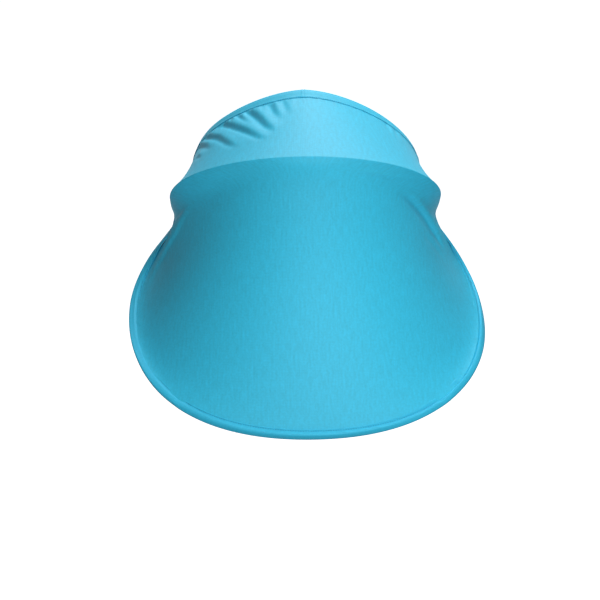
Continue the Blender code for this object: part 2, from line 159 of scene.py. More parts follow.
def spaced(points: Points, fractions: Points) -> Points:
    """Place points along a line.

    Args:
        points: The line's points.
        fractions: How far along the line each new point lies, as a share of its length.

    Returns:
        The new points.
    """
    lengths = distances(points)
    where = np.asarray(fractions) * lengths[-1]
    return np.stack([np.interp(where, lengths, column) for column in points.T], axis=1)


def unit(vectors: Points) -> Points:
    """Scale each vector, along the last axis, to length 1."""
    return vectors / np.linalg.norm(vectors, axis=-1, keepdims=True)


def directions(points: Points) -> Points:
    """Return the direction of a line at each of its points."""
    runs = unit(np.diff(points, axis=0))
    return unit(np.concatenate([runs[:1], runs[:-1] + runs[1:], runs[-1:]]))


def ease(values: Points) -> Points:
    """Turn 0 to 1 into 0 to 1 with a slow start and a slow end."""
    t = np.clip(values, 0, 1)
    return t * t * (3 - 2 * t)


def smoothed(rows: Points, passes: int, first: int, last: int) -> Points:
    """Round a grid's rows off against their neighbours.

    Args:
        rows: The grid, as rows x columns x 3.
        passes: How many times each row takes half its place from its neighbours.
        first: The first row that may move.
        last: The last row that may move.

    Returns:
        The grid with its rows moved.
    """
    rows = rows.copy()
    for _ in range(passes):
        middle = rows[first : last + 1]
        rows[first : last + 1] = (rows[first - 1 : last] + 2 * middle + rows[first + 1 : last + 2]) / 4
    return rows


class Line:
    """A line of points with, at each, the direction out of the cloth's edge and the cloth's normal."""

    def __init__(self, points: Points, ups: Points, outward: Points) -> None:
        """Set the line up.

        Args:
            points: The points along the line.
            ups: A direction at each that is roughly the cloth's normal.
            outward: A direction at each that points out of the cloth's edge.
        """
        tangents = directions(points)
        ups = unit(ups - tangents * np.sum(ups * tangents, axis=1)[:, None])
        outs = np.cross(tangents, ups)
        facing = np.sign(np.sum(outs * outward, axis=1))[:, None]
        self.points = points
        self.tangents = tangents
        self.ups = ups
        self.outs = outs * facing

    def offset(self, out: float | Points, up: float | Points) -> Points:
        """Return the line moved out of the edge and up from the cloth."""
        return self.points + self.outs * out + self.ups * up

    @property
    def length(self) -> float:
        """The line's length."""
        return float(distances(self.points)[-1])


# The shade's form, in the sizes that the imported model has


@dataclass(frozen=True)
class ShadeForm:
    """The ridge and the hem over the hood, the brim's vault, and the egg-shaped hoop that lies on it."""

    ridge_half_width: float = 0.1718
    ridge_height: float = 0.093
    ridge_rake: float = math.radians(25)
    ridge_roundness: float = 2.0
    foot_drop: float = 0.038
    foot_roundness: float = 3.0
    hem_half_width: float = 0.152
    hem_height: float = 0.104
    hem_drop: float = 0.011
    hem_setback: float = 0.105
    hem_roundness: float = 1.64
    hem_pull: float = 0.011
    hem_pull_start: float = 0.50
    slope_back: float = math.radians(40)
    slope_front: float = math.radians(44)
    front_radius: float = 1.9
    ridge_to_hoop: float = 0.016
    hoop_half_width: float = 0.2165
    hoop_rear_length: float = 0.150
    hoop_front_length: float = 0.167
    front_fullness: float = 0.68
    side_fullness: float = 0.60
    rear_fullness: float = 0.62
    waist_fullness: float = 0.60
    corner_tuck: float = 0.0069
    corner_rise: float = 0.010
    curvature_tries: int = 50

    @property
    def brim_length(self) -> float:
        """The distance down the vault from the ridge to the brim's front."""
        return self.ridge_to_hoop + self.hoop_rear_length + self.hoop_front_length

    @cached_property
    def half_hoop(self) -> Points:
        """The right half of the hoop as (x, distance down from the ridge), rear centre to front."""
        rear, front, side = self.ridge_to_hoop, self.brim_length, self.hoop_half_width
        widest = rear + self.hoop_rear_length
        back_part = bezier(
            (0, rear),
            (side * self.rear_fullness, rear),
            (side, widest - self.hoop_rear_length * self.waist_fullness),
            (side, widest),
        )
        front_part = bezier(
            (side, widest),
            (side, widest + self.hoop_front_length * self.side_fullness),
            (side * self.front_fullness, front),
            (0, front),
        )
        return np.concatenate([back_part, front_part[1:]])

    @cached_property
    def corner_plan(self) -> tuple[float, float]:
        """Where on the hoop the sleeve's right corner is sewn, as (x, distance down from the ridge)."""
        rear_half = self.half_hoop[:CURVE_STEPS]
        x = self.ridge_half_width - self.corner_tuck
        return x, float(np.interp(x, rear_half[:, 0], rear_half[:, 1]))

    @cached_property
    def corner_share(self) -> float:
        """The share of the hoop's length from its rear centre to the sleeve's corner."""
        lengths = distances(self.half_hoop)
        rear_half = self.half_hoop[:CURVE_STEPS]
        at = np.interp(self.corner_plan[0], rear_half[:, 0], lengths[:CURVE_STEPS])
        return float(at / lengths[-1] / 2)

    def down_vault(self, down: Points) -> tuple[Points, Points, Points]:
        """Follow the vault's middle line.

        Args:
            down: Distances down the line from the ridge.

        Returns:
            The line's slope, how far it has run forward, and its height, at each distance.
        """
        bend = (self.slope_front - self.slope_back) / self.brim_length
        middle = self.slope_back + bend * down / 2
        chord = down * np.sinc(bend * down / 2 / math.pi)
        forward = self.ridge_height * math.sin(self.ridge_rake) + chord * np.cos(middle)
        height = self.ridge_height * math.cos(self.ridge_rake) - chord * np.sin(middle)
        return self.slope_back + bend * down, forward, height

    @staticmethod
    def fall_aside(x: Points, radius: Points) -> Points:
        """Return how far the vault falls at x from its middle line."""
        aside = x / radius
        return radius * (aside**2 / 2 + aside**4 / 8 + aside**6 / 16)

    @cached_property
    def rear_curvature(self) -> float:
        """The vault's curvature at the ridge, which sets the height of the sleeve's corners."""
        x, down = self.corner_plan
        slope, _, height = self.down_vault(down)
        fall = (height + self.foot_drop - self.corner_rise) / math.cos(slope)
        tight, open_wide = x / 4, x * 40
        for _ in range(self.curvature_tries):
            radius = (tight + open_wide) / 2
            if self.fall_aside(x, radius) > fall:
                tight = radius
            else:
                open_wide = radius
        share = down / self.brim_length
        return (1 / radius - share / self.front_radius) / (1 - share)

    def on_vault(self, plan: Points) -> Points:
        """Place points on the brim's vault.

        Args:
            plan: Rows of (x, distance down from the ridge).

        Returns:
            Their places.
        """
        x, down = plan[..., 0], plan[..., 1]
        slope, forward, height = self.down_vault(down)
        share = np.clip(down / self.brim_length, 0, 1)
        fall = self.fall_aside(x, 1 / ((1 - share) * self.rear_curvature + share / self.front_radius))
        return np.stack([x, fall * np.sin(slope) - forward, height - fall * np.cos(slope)], axis=-1)

    def vault_steps(self, plan: Points) -> tuple[Points, Points]:
        """Work out how the vault runs.

        Args:
            plan: Rows of (x, distance down from the ridge).

        Returns:
            How the vault's places change across it and down it, for each unit of plan.
        """
        step = 1e-4
        across = self.on_vault(plan + (step, 0)) - self.on_vault(plan - (step, 0))
        down = self.on_vault(plan + (0, step)) - self.on_vault(plan - (0, step))
        return across / (2 * step), down / (2 * step)

    def vault_normals(self, plan: Points) -> Points:
        """Return the vault's upward normals."""
        across, down = self.vault_steps(plan)
        return unit(np.cross(down, across))

    def hoop_plan(self, shares: Points) -> Points:
        """Return places round the hoop on the vault, where 0 and 1 are the rear centre and 0.5 the front."""
        left = self.half_hoop[::-1] * (-1, 1)
        return spaced(np.concatenate([self.half_hoop, left[1:]]), shares)

    def line_on_hoop(self, plan: Points) -> Line:
        """Run a line along the hoop.

        Args:
            plan: The line's places on the hoop, as (x, distance down from the ridge).

        Returns:
            The line, which faces out of the hoop.
        """
        middle = np.array([[0.0, self.ridge_to_hoop + self.hoop_rear_length]])
        places = self.on_vault(plan)
        return Line(places, self.vault_normals(plan), places - self.on_vault(middle))

    def arch(self, height: float, half_width: float, roundness: float, drop: float, foot: float) -> Points:
        """Trace the right half of an arch from its top to a foot below its springing.

        Args:
            height: The arch's height above its springing.
            half_width: Half its width there.
            roundness: The exponent of its curve above the springing, 2 for an ellipse.
            drop: How far the foot lies below the springing.
            foot: The exponent of its curve below the springing.

        Returns:
            Rows of (x, height).
        """
        above = height * np.sin(np.linspace(1, 0, CURVE_STEPS) * math.pi / 2)
        below = -np.linspace(0, drop, CURVE_STEPS)[1:]
        halves = []
        for level, power in ((above, roundness), (below, foot)):
            x = half_width * (1 - np.abs(level / height) ** power) ** (1 / power)
            halves.append(np.stack([x, level], axis=1))
        return np.concatenate(halves)

    @staticmethod
    def mirrored(half: Points, shares: Points) -> Points:
        """Place points along a line and its mirror image.

        Args:
            half: The right half of the whole line, from its middle.
            shares: Where each point lies, from -1 at the left end to 1 at the right end.

        Returns:
            The points.
        """
        points = spaced(half, np.abs(shares))
        points[:, 0] *= np.sign(shares)
        return points

    def ridge_points(self, shares: Points) -> Points:
        """Follow the fold over the front of the hood, in its raked plane.

        Args:
            shares: Where along it each point lies, -1 to 1.

        Returns:
            The points.
        """
        drop = self.foot_drop / math.cos(self.ridge_rake)
        half = self.arch(
            self.ridge_height, self.ridge_half_width, self.ridge_roundness, drop, self.foot_roundness
        )
        flat = self.mirrored(half, shares)
        back = -flat[:, 1] * math.sin(self.ridge_rake)
        return np.stack([flat[:, 0], back, flat[:, 1] * math.cos(self.ridge_rake)], axis=1)

    def hem_points(self, shares: Points) -> Points:
        """Follow the middle of the rear hem's casing, with its left end drawn in.

        Args:
            shares: Where along it each point lies, -1 to 1.

        Returns:
            The points.
        """
        drop = self.foot_drop - self.hem_drop
        half = self.arch(self.hem_height, self.hem_half_width, self.hem_roundness, drop, self.hem_roundness)
        flat = self.mirrored(half, shares)
        pulled = np.clip((-shares - self.hem_pull_start) / (1 - self.hem_pull_start), 0, 1)
        x = flat[:, 0] + self.hem_pull * np.sin(pulled * math.pi / 2) ** 2
        return np.stack([x, np.full(len(flat), self.hem_setback), flat[:, 1] - self.hem_drop], axis=1)

    def hem_line(self, shares: Points) -> Line:
        """Run a line along the rear hem's casing.

        Args:
            shares: Where along it each point lies, -1 to 1.

        Returns:
            The line, which faces out at the rear.
        """
        hem = self.hem_points(shares)
        away = hem - self.ridge_points(shares)
        return Line(hem, np.cross(directions(hem), away), away)


# Pieces made from a grid, and from single stitches


def grid_piece(name: str, places: Points, marks: Points, wrap: bool = False) -> bpy.types.Object:
    """Make a piece from a grid whose points are moved into place.

    Args:
        name: The piece's name.
        places: Where each point goes, as rows x columns x 3.
        marks: Where each point lies on the flat cloth in metres, as rows x columns x 2.
        wrap: Whether the last column meets the first, as round a tape, and the ends are closed.

    Returns:
        The piece.
    """
    rows, columns = places.shape[:2]
    shape = bmesh.new()
    bmesh.ops.create_grid(shape, x_segments=columns - 1, y_segments=rows - 1, size=0.5)
    flat = np.array([vert.co[:2] for vert in shape.verts])
    low, high = flat.min(axis=0), flat.max(axis=0)
    steps = np.rint((flat - low) / (high - low) * (columns - 1, rows - 1)).astype(int)
    weave = shape.loops.layers.uv.new(WEAVE)
    spots = [tuple(mark) for mark in marks[steps[:, 1], steps[:, 0]]]
    for face in shape.faces:
        for loop in face.loops:
            loop[weave].uv = spots[loop.vert.index]
    for vert, place in zip(shape.verts, places[steps[:, 1], steps[:, 0]]):
        vert.co = place
    if wrap:
        bmesh.ops.remove_doubles(shape, verts=shape.verts, dist=1e-7)
        ends = [edge for edge in shape.edges if edge.is_boundary]
        bmesh.ops.holes_fill(shape, edges=ends, sides=0)
        bmesh.ops.triangulate(shape, faces=[face for face in shape.faces if len(face.verts) > 4])
        bmesh.ops.recalc_face_normals(shape, faces=shape.faces)
    return to_object(name, shape)


def to_object(name: str, shape: bmesh.types.BMesh, smooth: bool = True) -> bpy.types.Object:
    """Turn a bmesh into a linked object at the origin.

    Args:
        name: The object's name.
        shape: The bmesh, which is freed.
        smooth: Whether its faces are shaded smooth.

    Returns:
        The object.
    """
    mesh = bpy.data.meshes.new(name)
    shape.to_mesh(mesh)
    shape.free()
    if smooth:
        mesh.shade_smooth()
    made = bpy.data.objects.new(name, mesh)
    bpy.context.scene.collection.objects.link(made)
    return made


def thicken(piece: bpy.types.Object, thickness: float) -> None:
    """Give a sheet its thickness, half to each side, and make that its mesh.

    Args:
        piece: The sheet.
        thickness: Its thickness.
    """
    modifier = piece.modifiers.new("cloth thickness", "SOLIDIFY")
    modifier.thickness = thickness
    modifier.offset = 0
    modifier.use_even_offset = True
    graph = bpy.context.evaluated_depsgraph_get()
    thick = bpy.data.meshes.new_from_object(piece.evaluated_get(graph))
    piece.modifiers.clear()
    piece.data = thick
    thick.shade_smooth()


def ribbon(line: Line, profile: Points) -> Points:
    """Carry a profile along a line.

    Args:
        line: The line that the profile follows.
        profile: Rows of (out, up), or one such profile for each of the line's points.

    Returns:
        The grid of places.
    """
    out, up = profile[..., 0], profile[..., 1]
    if profile.ndim == 2:
        out, up = out[None, :], up[None, :]
    return (
        line.points[:, None, :]
        + line.outs[:, None, :] * out[..., None]
        + line.ups[:, None, :] * up[..., None]
    )


def ribbon_marks(line: Line, profile: Points) -> Points:
    """Work out where each place of a ribbon lies on the flat tape.

    Args:
        line: The line that the profile follows.
        profile: The profile, or one for each of the line's points.

    Returns:
        The grid of (round the tape, along it).
    """
    along = distances(line.points)
    around = distances(profile if profile.ndim == 2 else profile[0])
    return np.stack(np.meshgrid(around, along), axis=-1)


@dataclass(frozen=True)
class Thread:
    """The sewing thread of a seam, with the length and spacing of its stitches."""

    stitch: float = 2.1 * MM
    pitch: float = 2.9 * MM
    thickness: float = 0.36 * MM
    flatness: float = 0.7
    sides: int = 6
    rings: int = 4

    def sew(self, name: str, seams: list[tuple[Points, Points]]) -> bpy.types.Object:
        """Sew stitches along lines.

        Args:
            name: The piece's name.
            seams: Each line's points, with the cloth's normal at each.

        Returns:
            One piece that holds every stitch.
        """
        turns = np.array([turn for points, ups in seams for turn in self.along(points, ups)])
        shape = bmesh.new()
        number = shape.verts.layers.int.new("number")
        bmesh.ops.create_uvsphere(shape, u_segments=self.sides, v_segments=self.rings, radius=1)
        for index, vert in enumerate(shape.verts):
            vert[number] = index
        bead = np.array([[*vert.co, 1] for vert in shape.verts])
        places = np.einsum("nij,vj->nvi", turns, bead)[..., :3].reshape(-1, 3)
        while len(shape.verts) < len(places):
            count = len(shape.verts)
            copied = bmesh.ops.duplicate(shape, geom=[*shape.verts, *shape.edges, *shape.faces])["geom"]
            for vert in copied:
                if isinstance(vert, bmesh.types.BMVert):
                    vert[number] += count
        spare = [vert for vert in shape.verts if vert[number] >= len(places)]
        bmesh.ops.delete(shape, geom=spare, context="VERTS")
        for vert in shape.verts:
            vert.co = places[vert[number]]
        return to_object(name, shape)

    def along(self, points: Points, ups: Points) -> list[Points]:
        """Lay stitches along one line.

        Args:
            points: The line's points.
            ups: The cloth's normal at each.

        Returns:
            For each stitch, the 4 x 4 matrix that turns a ball into it: a slim bead that dips into the cloth.
        """
        lengths = distances(points)
        count = max(1, int(lengths[-1] / self.pitch))
        middles = (np.arange(count) + 0.5) / count
        step = 0.2 / count
        places = spaced(points, middles)
        runs = unit(spaced(points, middles + step) - spaced(points, middles - step))
        normals = np.stack([np.interp(middles * lengths[-1], lengths, axis) for axis in ups.T], axis=1)
        across = unit(np.cross(normals, runs))
        sizes = (self.stitch / 2, self.thickness, self.thickness * self.flatness)
        turns = np.zeros((count, 4, 4))
        for column, (axis, size) in enumerate(zip((runs, across, np.cross(runs, across)), sizes)):
            turns[:, :3, column] = axis * size
        turns[:, :3, 3] = places
        turns[:, 3, 3] = 1
        return list(turns)


# Folds in the cloth


@dataclass(frozen=True)
class Fold:
    """A gather or crease in the cloth: a crest, with a slow side and a steep side that ends in a valley.

    Its route is rows of (across, down, strength), in millimetres on the cloth and 0 to 1. The steep side
    lies to the right of someone who walks the route on the cloth's upper face. The valley's depth is a share
    of the height, and its place and width are shares of the steep side's width.
    """

    route: tuple[tuple[float, float, float], ...]
    height_mm: float
    slow_mm: float = 9.0
    steep_mm: float = 3.6
    valley: float = 0.75
    valley_place: float = 1.9
    valley_width: float = 1.1

    def lift(self, cloth: Points) -> Points:
        """Work out how far the fold lifts the cloth.

        Args:
            cloth: Each point's place on the cloth, as (across, down) in metres.

        Returns:
            The lift at each point in metres, below 0 in the valley.
        """
        flat = cloth / MM
        nearest = np.full(flat.shape[:-1], np.inf)
        beside, strength = np.zeros(nearest.shape), np.zeros(nearest.shape)
        for (*start, before), (*end, after) in zip(self.route, self.route[1:]):
            run = np.subtract(end, start)
            length = np.hypot(*run)
            t = np.clip(((flat - start) @ run) / length**2, 0, 1)
            gap = flat - (start + t[..., None] * run)
            distance = np.hypot(gap[..., 0], gap[..., 1])
            closer = distance < nearest
            side = np.sign(run[0] * gap[..., 1] - run[1] * gap[..., 0])
            nearest = np.where(closer, distance, nearest)
            beside = np.where(closer, distance * side, beside)
            strength = np.where(closer, before + (after - before) * t, strength)
        crest = np.exp(-((beside / np.where(beside < 0, self.slow_mm, self.steep_mm)) ** 2))
        valley = np.exp(-(((beside / self.steep_mm - self.valley_place) / self.valley_width) ** 2))
        return self.height_mm * MM * ease(strength) * (crest - self.valley * valley)


def lifted(folds: tuple[Fold, ...], cloth: Points) -> Points:
    """Return how far all these folds together lift the cloth at each of its places."""
    return sum((fold.lift(cloth) for fold in folds), np.zeros(cloth.shape[:-1]))


# Where the elastic draws the band up: (along the ridge from its middle, down from the hem's seam, strength)
GATHERS = (
    Fold(((-190, 2, 0.6), (-178, 8, 1), (-149, 42, 0.8), (-129, 72, 0)), 1.9, 9, 3.8),
    Fold(((-168, -4, 0.8), (-160, 6, 1), (-124, 44, 1), (-104, 74, 0.7), (-84, 98, 0)), 2.3, 10, 4.2),
    Fold(
        ((-126, -4, 0.8), (-120, 10, 1), (-94, 41, 1), (-75, 63, 0.8), (-60, 81, 0.5), (-45, 92, 0)),
        height_mm=2.6, slow_mm=11, steep_mm=4.4,
    ),
    Fold(((-112, -4, 0.8), (-109, 9, 1), (-101, 25, 0)), 1.6, 5, 2.6),
    Fold(((-99, -4, 0.8), (-96, 9, 1), (-82, 34, 0.4), (-74, 46, 0)), 2.0, 7, 3.2),
    Fold(((-82, -4, 0.8), (-78, 9, 1), (-62, 34, 1), (-49, 60, 0.7), (-34, 80, 0)), 3.0, 11, 4.8),
    Fold(((-45, -4, 0.7), (-43, 9, 1), (-38, 30, 0.8), (-28, 55, 0)), 1.9, 9, 4.6),
    Fold(((-26, -4, 0.6), (-24, 10, 1), (-20, 30, 0.6), (-16, 48, 0)), 1.2, 8, 4.6),
    Fold(((-172, 48, 0), (-162, 58, 1), (-146, 78, 0)), 1.2, 6, 3.2),
    Fold(((107, -4, 0.4), (108, 9, 1), (106, 30, 0)), 1.2, 8, 3.8),
    Fold(((134, -4, 0.4), (135, 11, 1), (138, 32, 0.6), (140, 54, 0)), 1.4, 8, 3.8),
    Fold(((150, -4, 0.4), (152, 13, 1), (151, 30, 0.6), (149, 48, 0)), 1.3, 7, 3.4),
    Fold(((166, -4, 0.4), (168, 11, 1), (166, 32, 0)), 1.2, 6, 3.0),
    Fold(((198, 4, 1), (202, 12, 1), (206, 26, 0)), 1.1, 5, 3.0),
)

# Where the cloth is pinched beside the hoop's corners: (across, down from the ridge, strength)
CREASES = (
    Fold(
        ((181, 108, 0), (172, 88, 0.4), (162, 73, 0.8), (150.5, 61, 1), (137, 49.5, 1), (118, 37, 0.6),
         (105, 30, 0)),
        height_mm=-3.4, slow_mm=6.0, steep_mm=2.2, valley=0.0,
    ),
    Fold(
        ((183, 106, 0), (175, 86, 0.4), (164.5, 71, 0.8), (153, 59, 1), (139.5, 47, 1), (120.5, 35, 0.6),
         (108, 28, 0)),
        height_mm=1.5, slow_mm=1.9, steep_mm=7.0, valley=0.0,
    ),
    Fold(
        ((-126, 34, 0), (-142, 46, 0.6), (-154, 58, 0.9), (-163, 70, 1), (-174, 82, 1), (-190, 103, 0.8),
         (-200, 123, 0.5), (-206, 150, 0)),
        height_mm=1.8, slow_mm=2.6, steep_mm=4.5, valley=0.3,
    ),
    Fold(((-148, 44, 0), (-158, 54, 1), (-166, 68, 1), (-172, 80, 0)), 0.9, 2.2, 3.0, 0.3),
    Fold(((150, 74, 0), (158, 81, 1), (170, 91, 0.8), (186, 108, 0)), 1.2, 6, 3.6),
    Fold(((50, 13, 0), (62, 12, 1), (82, 10, 1), (100, 6, 0.6), (112, 2, 0)), 0.5, 5, 3.0),
)


# Finishes


def linear(code: str) -> tuple[float, float, float, float]:
    """Turn an sRGB hex colour into the linear one that a shader takes."""
    values = [int(code[i : i + 2], 16) / 255 for i in (1, 3, 5)]
    return (*(v / 12.92 if v <= 0.04045 else ((v + 0.055) / 1.055) ** 2.4 for v in values), 1.0)


def add_node(
    tree: bpy.types.NodeTree,
    kind: str,
    values: dict | None = None,
    links: dict | None = None,
    **settings: object,
) -> bpy.types.Node:
    """Add one node.

    Args:
        tree: The material's nodes.
        kind: The node's type.
        values: Plain values for its sockets, by name or number.
        links: The outputs that its sockets read, by name or number.
        **settings: The node's own settings.

    Returns:
        The node.
    """
    made = tree.nodes.new(kind)
    for name, value in settings.items():
        setattr(made, name, value)
    for socket, value in (values or {}).items():
        made.inputs[socket].default_value = value
    for socket, output in (links or {}).items():
        tree.links.new(output, made.inputs[socket])
    return made


def new_material(name: str) -> tuple[bpy.types.Material, bpy.types.Node]:
    """Make an empty material.

    Args:
        name: Its name.

    Returns:
        The material and its Principled shader.
    """
    material = bpy.data.materials.new(name)
    material.use_nodes = True
    return material, material.node_tree.nodes["Principled BSDF"]


def per_metre(size_mm: float) -> float:
    """Turn a pattern's size in millimetres into how many of it fit in a metre."""
    return 1000 / size_mm


def waves_per_metre(size_mm: float) -> float:
    """Turn a pattern's size into the scale of a wave texture, which repeats every pi / 10 at scale 1."""
    return per_metre(size_mm) * math.pi / 10


def tint(
    tree: bpy.types.NodeTree,
    shader: bpy.types.Node,
    colour: str,
    pattern: bpy.types.NodeSocket,
    shades: Pair,
    span: Pair = NOISE_SPAN,
) -> None:
    """Colour a shader, darker where a pattern is low and lighter where it is high.

    Args:
        tree: The material's nodes.
        shader: Its Principled shader.
        colour: The colour's hex code.
        pattern: The pattern.
        shades: What the colour is multiplied by at the pattern's low and high ends.
        span: The pattern's values at those ends.
    """
    tone = add_node(
        tree,
        "ShaderNodeMapRange",
        {"From Min": span[0], "From Max": span[1], "To Min": shades[0], "To Max": shades[1]},
        {"Value": pattern},
    )
    shade = add_node(
        tree, "ShaderNodeVectorMath", {0: linear(colour)[:3]}, {"Scale": tone.outputs[0]}, operation="SCALE"
    )
    tree.links.new(shade.outputs[0], shader.inputs["Base Color"])


@dataclass(frozen=True)
class JerseyKnit:
    """Polyester and elastane jersey, piece dyed.

    Its matt face has faint lengthwise streaks, where the yarn's thickness varies, and a fine rib of wales.
    The wales and courses are drawn about twice as coarse as real ones, so that they show.
    """

    name: str = "sky blue stretch jersey"
    colour: str = "#2EBBDE"
    shades: Pair = (0.885, 1.095)
    streak_mm: float = 2.6
    streak_length_mm: float = 14.0
    grain_mm: float = 2.6
    grain_share: float = 0.9
    yarn_span: Pair = (0.6, 1.3)
    wale_mm: float = 1.5
    wale_relief: float = 0.5
    course_mm: float = 1.9
    course_relief: float = 0.25
    depth_mm: float = 0.12
    roughness: float = 0.6
    specular: float = 0.4
    sheen: float = 0.03

    def material(self) -> bpy.types.Material:
        """Make the material.

        Returns:
            The material.
        """
        material, shader = new_material(self.name)
        tree = material.node_tree
        cloth = add_node(tree, "ShaderNodeUVMap", uv_map=WEAVE).outputs["UV"]
        stretched = add_node(
            tree,
            "ShaderNodeMapping",
            {"Scale": (per_metre(self.streak_mm), per_metre(self.streak_length_mm), 1)},
            {"Vector": cloth},
        )
        streaks = add_node(
            tree, "ShaderNodeTexNoise", {"Scale": 1.0, "Detail": 3.0}, {"Vector": stretched.outputs[0]}
        )
        grain = add_node(
            tree, "ShaderNodeTexNoise", {"Scale": per_metre(self.grain_mm), "Detail": 2.0}, {"Vector": cloth}
        )
        yarn = add_node(
            tree,
            "ShaderNodeMath",
            {1: self.grain_share},
            {0: grain.outputs["Fac"], 2: streaks.outputs["Fac"]},
            operation="MULTIPLY_ADD",
        )
        tint(tree, shader, self.colour, yarn.outputs[0], self.shades, self.yarn_span)
        shader.inputs["Roughness"].default_value = self.roughness
        shader.inputs["Specular IOR Level"].default_value = self.specular
        shader.inputs["Sheen Weight"].default_value = self.sheen
        tree.links.new(self.rib(tree, cloth, yarn), shader.inputs["Normal"])
        return material

    def rib(
        self, tree: bpy.types.NodeTree, cloth: bpy.types.NodeSocket, yarn: bpy.types.Node
    ) -> bpy.types.NodeSocket:
        """Raise the wales and courses.

        Args:
            tree: The material's nodes.
            cloth: The place on the flat cloth.
            yarn: The node with the yarn's thickness.

        Returns:
            The bump's output.
        """
        height = yarn.outputs[0]
        ribs = ((self.wale_mm, "X", self.wale_relief), (self.course_mm, "Y", self.course_relief))
        for size, axis, relief in ribs:
            wave = add_node(
                tree,
                "ShaderNodeTexWave",
                {"Scale": waves_per_metre(size), "Distortion": 0.6, "Detail": 1.0},
                {"Vector": cloth},
                bands_direction=axis,
            )
            height = add_node(
                tree,
                "ShaderNodeMath",
                {1: relief},
                {0: wave.outputs["Fac"], 2: height},
                operation="MULTIPLY_ADD",
            ).outputs[0]
        bump = add_node(
            tree, "ShaderNodeBump", {"Strength": 0.5, "Distance": self.depth_mm * MM}, {"Height": height}
        )
        return bump.outputs[0]


@dataclass(frozen=True)
class BiasTape:
    """Woven polyester tape, cut on the bias and folded.

    Fine threads cross it at 45 degrees. They are drawn about three times as coarse as real ones, so that they
    show.
    """

    name: str = "sky blue bias tape"
    colour: str = "#2DBADF"
    shades: Pair = (0.9, 1.08)
    thread_mm: float = 1.1
    thread_relief: float = 0.4
    thread_span: Pair = (0.4, 1.3)
    grain_mm: float = 2.4
    depth_mm: float = 0.1
    roughness: float = 0.6
    specular: float = 0.4

    def material(self) -> bpy.types.Material:
        """Make the material.

        Returns:
            The material.
        """
        material, shader = new_material(self.name)
        tree = material.node_tree
        tape = add_node(tree, "ShaderNodeUVMap", uv_map=WEAVE).outputs["UV"]
        bias = add_node(
            tree, "ShaderNodeMapping", {"Rotation": (0, 0, math.radians(45))}, {"Vector": tape}
        )
        grain = add_node(
            tree, "ShaderNodeTexNoise", {"Scale": per_metre(self.grain_mm), "Detail": 3.0}, {"Vector": tape}
        )
        height = grain.outputs["Fac"]
        for axis in ("X", "Y"):
            wave = add_node(
                tree,
                "ShaderNodeTexWave",
                {"Scale": waves_per_metre(self.thread_mm), "Distortion": 0.4},
                {"Vector": bias.outputs[0]},
                bands_direction=axis,
            )
            height = add_node(
                tree,
                "ShaderNodeMath",
                {1: self.thread_relief},
                {0: wave.outputs["Fac"], 2: height},
                operation="MULTIPLY_ADD",
            ).outputs[0]
        tint(tree, shader, self.colour, height, self.shades, self.thread_span)
        bump = add_node(
            tree, "ShaderNodeBump", {"Strength": 0.5, "Distance": self.depth_mm * MM}, {"Height": height}
        )
        tree.links.new(bump.outputs[0], shader.inputs["Normal"])
        shader.inputs["Roughness"].default_value = self.roughness
        shader.inputs["Specular IOR Level"].default_value = self.specular
        return material


@dataclass(frozen=True)
class WovenBand:
    """A band of straight-woven yarn: webbing or elastic.

    Its cords run along it, with cross threads between, and its colour is darkened where they dip: painted
    shade in the hollows between the cords.
    """

    name: str
    colour: str
    cord_mm: float
    pick_mm: float
    # The low end is painted shade: it darkens the mortar, where the cross threads dip between the cords.
    shades: Pair = (0.45, 1.05)
    depth_mm: float = 0.25
    roughness: float = 0.7
    sheen: float = 0.1

    def material(self) -> bpy.types.Material:
        """Make the material.

        Returns:
            The material.
        """
        material, shader = new_material(self.name)
        tree = material.node_tree
        band = add_node(tree, "ShaderNodeUVMap", uv_map=WEAVE).outputs["UV"]
        scale = {"Scale": (per_metre(self.cord_mm), per_metre(self.pick_mm), 1)}
        threads = add_node(tree, "ShaderNodeMapping", scale, {"Vector": band})
        weave = add_node(
            tree,
            "ShaderNodeTexBrick",
            {
                "Color1": (1, 1, 1, 1),
                "Color2": (0.86, 0.86, 0.86, 1),
                "Mortar": (0.3, 0.3, 0.3, 1),
                "Scale": 1.0,
                "Mortar Size": 0.12,
                "Mortar Smooth": 1.0,
                "Brick Width": 1.0,
                "Row Height": 1.0,
            },
            {"Vector": threads.outputs[0]},
        )
        # Painted shade: the colour is darkened along the mortar, in the dips between the cords.
        tint(tree, shader, self.colour, weave.outputs["Color"], self.shades, (0.0, 1.0))
        bump = add_node(
            tree,
            "ShaderNodeBump",
            {"Strength": 0.8, "Distance": self.depth_mm * MM},
            {"Height": weave.outputs["Color"]},
        )
        tree.links.new(bump.outputs[0], shader.inputs["Normal"])
        shader.inputs["Roughness"].default_value = self.roughness
        shader.inputs["Sheen Weight"].default_value = self.sheen
        return material


@dataclass(frozen=True)
class MouldedHooks:
    """Injection-moulded nylon hook tape. Dull and slightly glossy on its hooks' tips."""

    name: str = "blue nylon hook tape"
    colour: str = "#1F86B4"
    shades: Pair = (0.85, 1.1)
    speck_mm: float = 0.8
    roughness: float = 0.42

    def material(self) -> bpy.types.Material:
        """Make the material.

        Returns:
            The material.
        """
        material, shader = new_material(self.name)
        tree = material.node_tree
        place = add_node(tree, "ShaderNodeTexCoord").outputs["Object"]
        specks = add_node(tree, "ShaderNodeTexNoise", {"Scale": per_metre(self.speck_mm)}, {"Vector": place})
        tint(tree, shader, self.colour, specks.outputs["Fac"], self.shades)
        shader.inputs["Roughness"].default_value = self.roughness
        return material


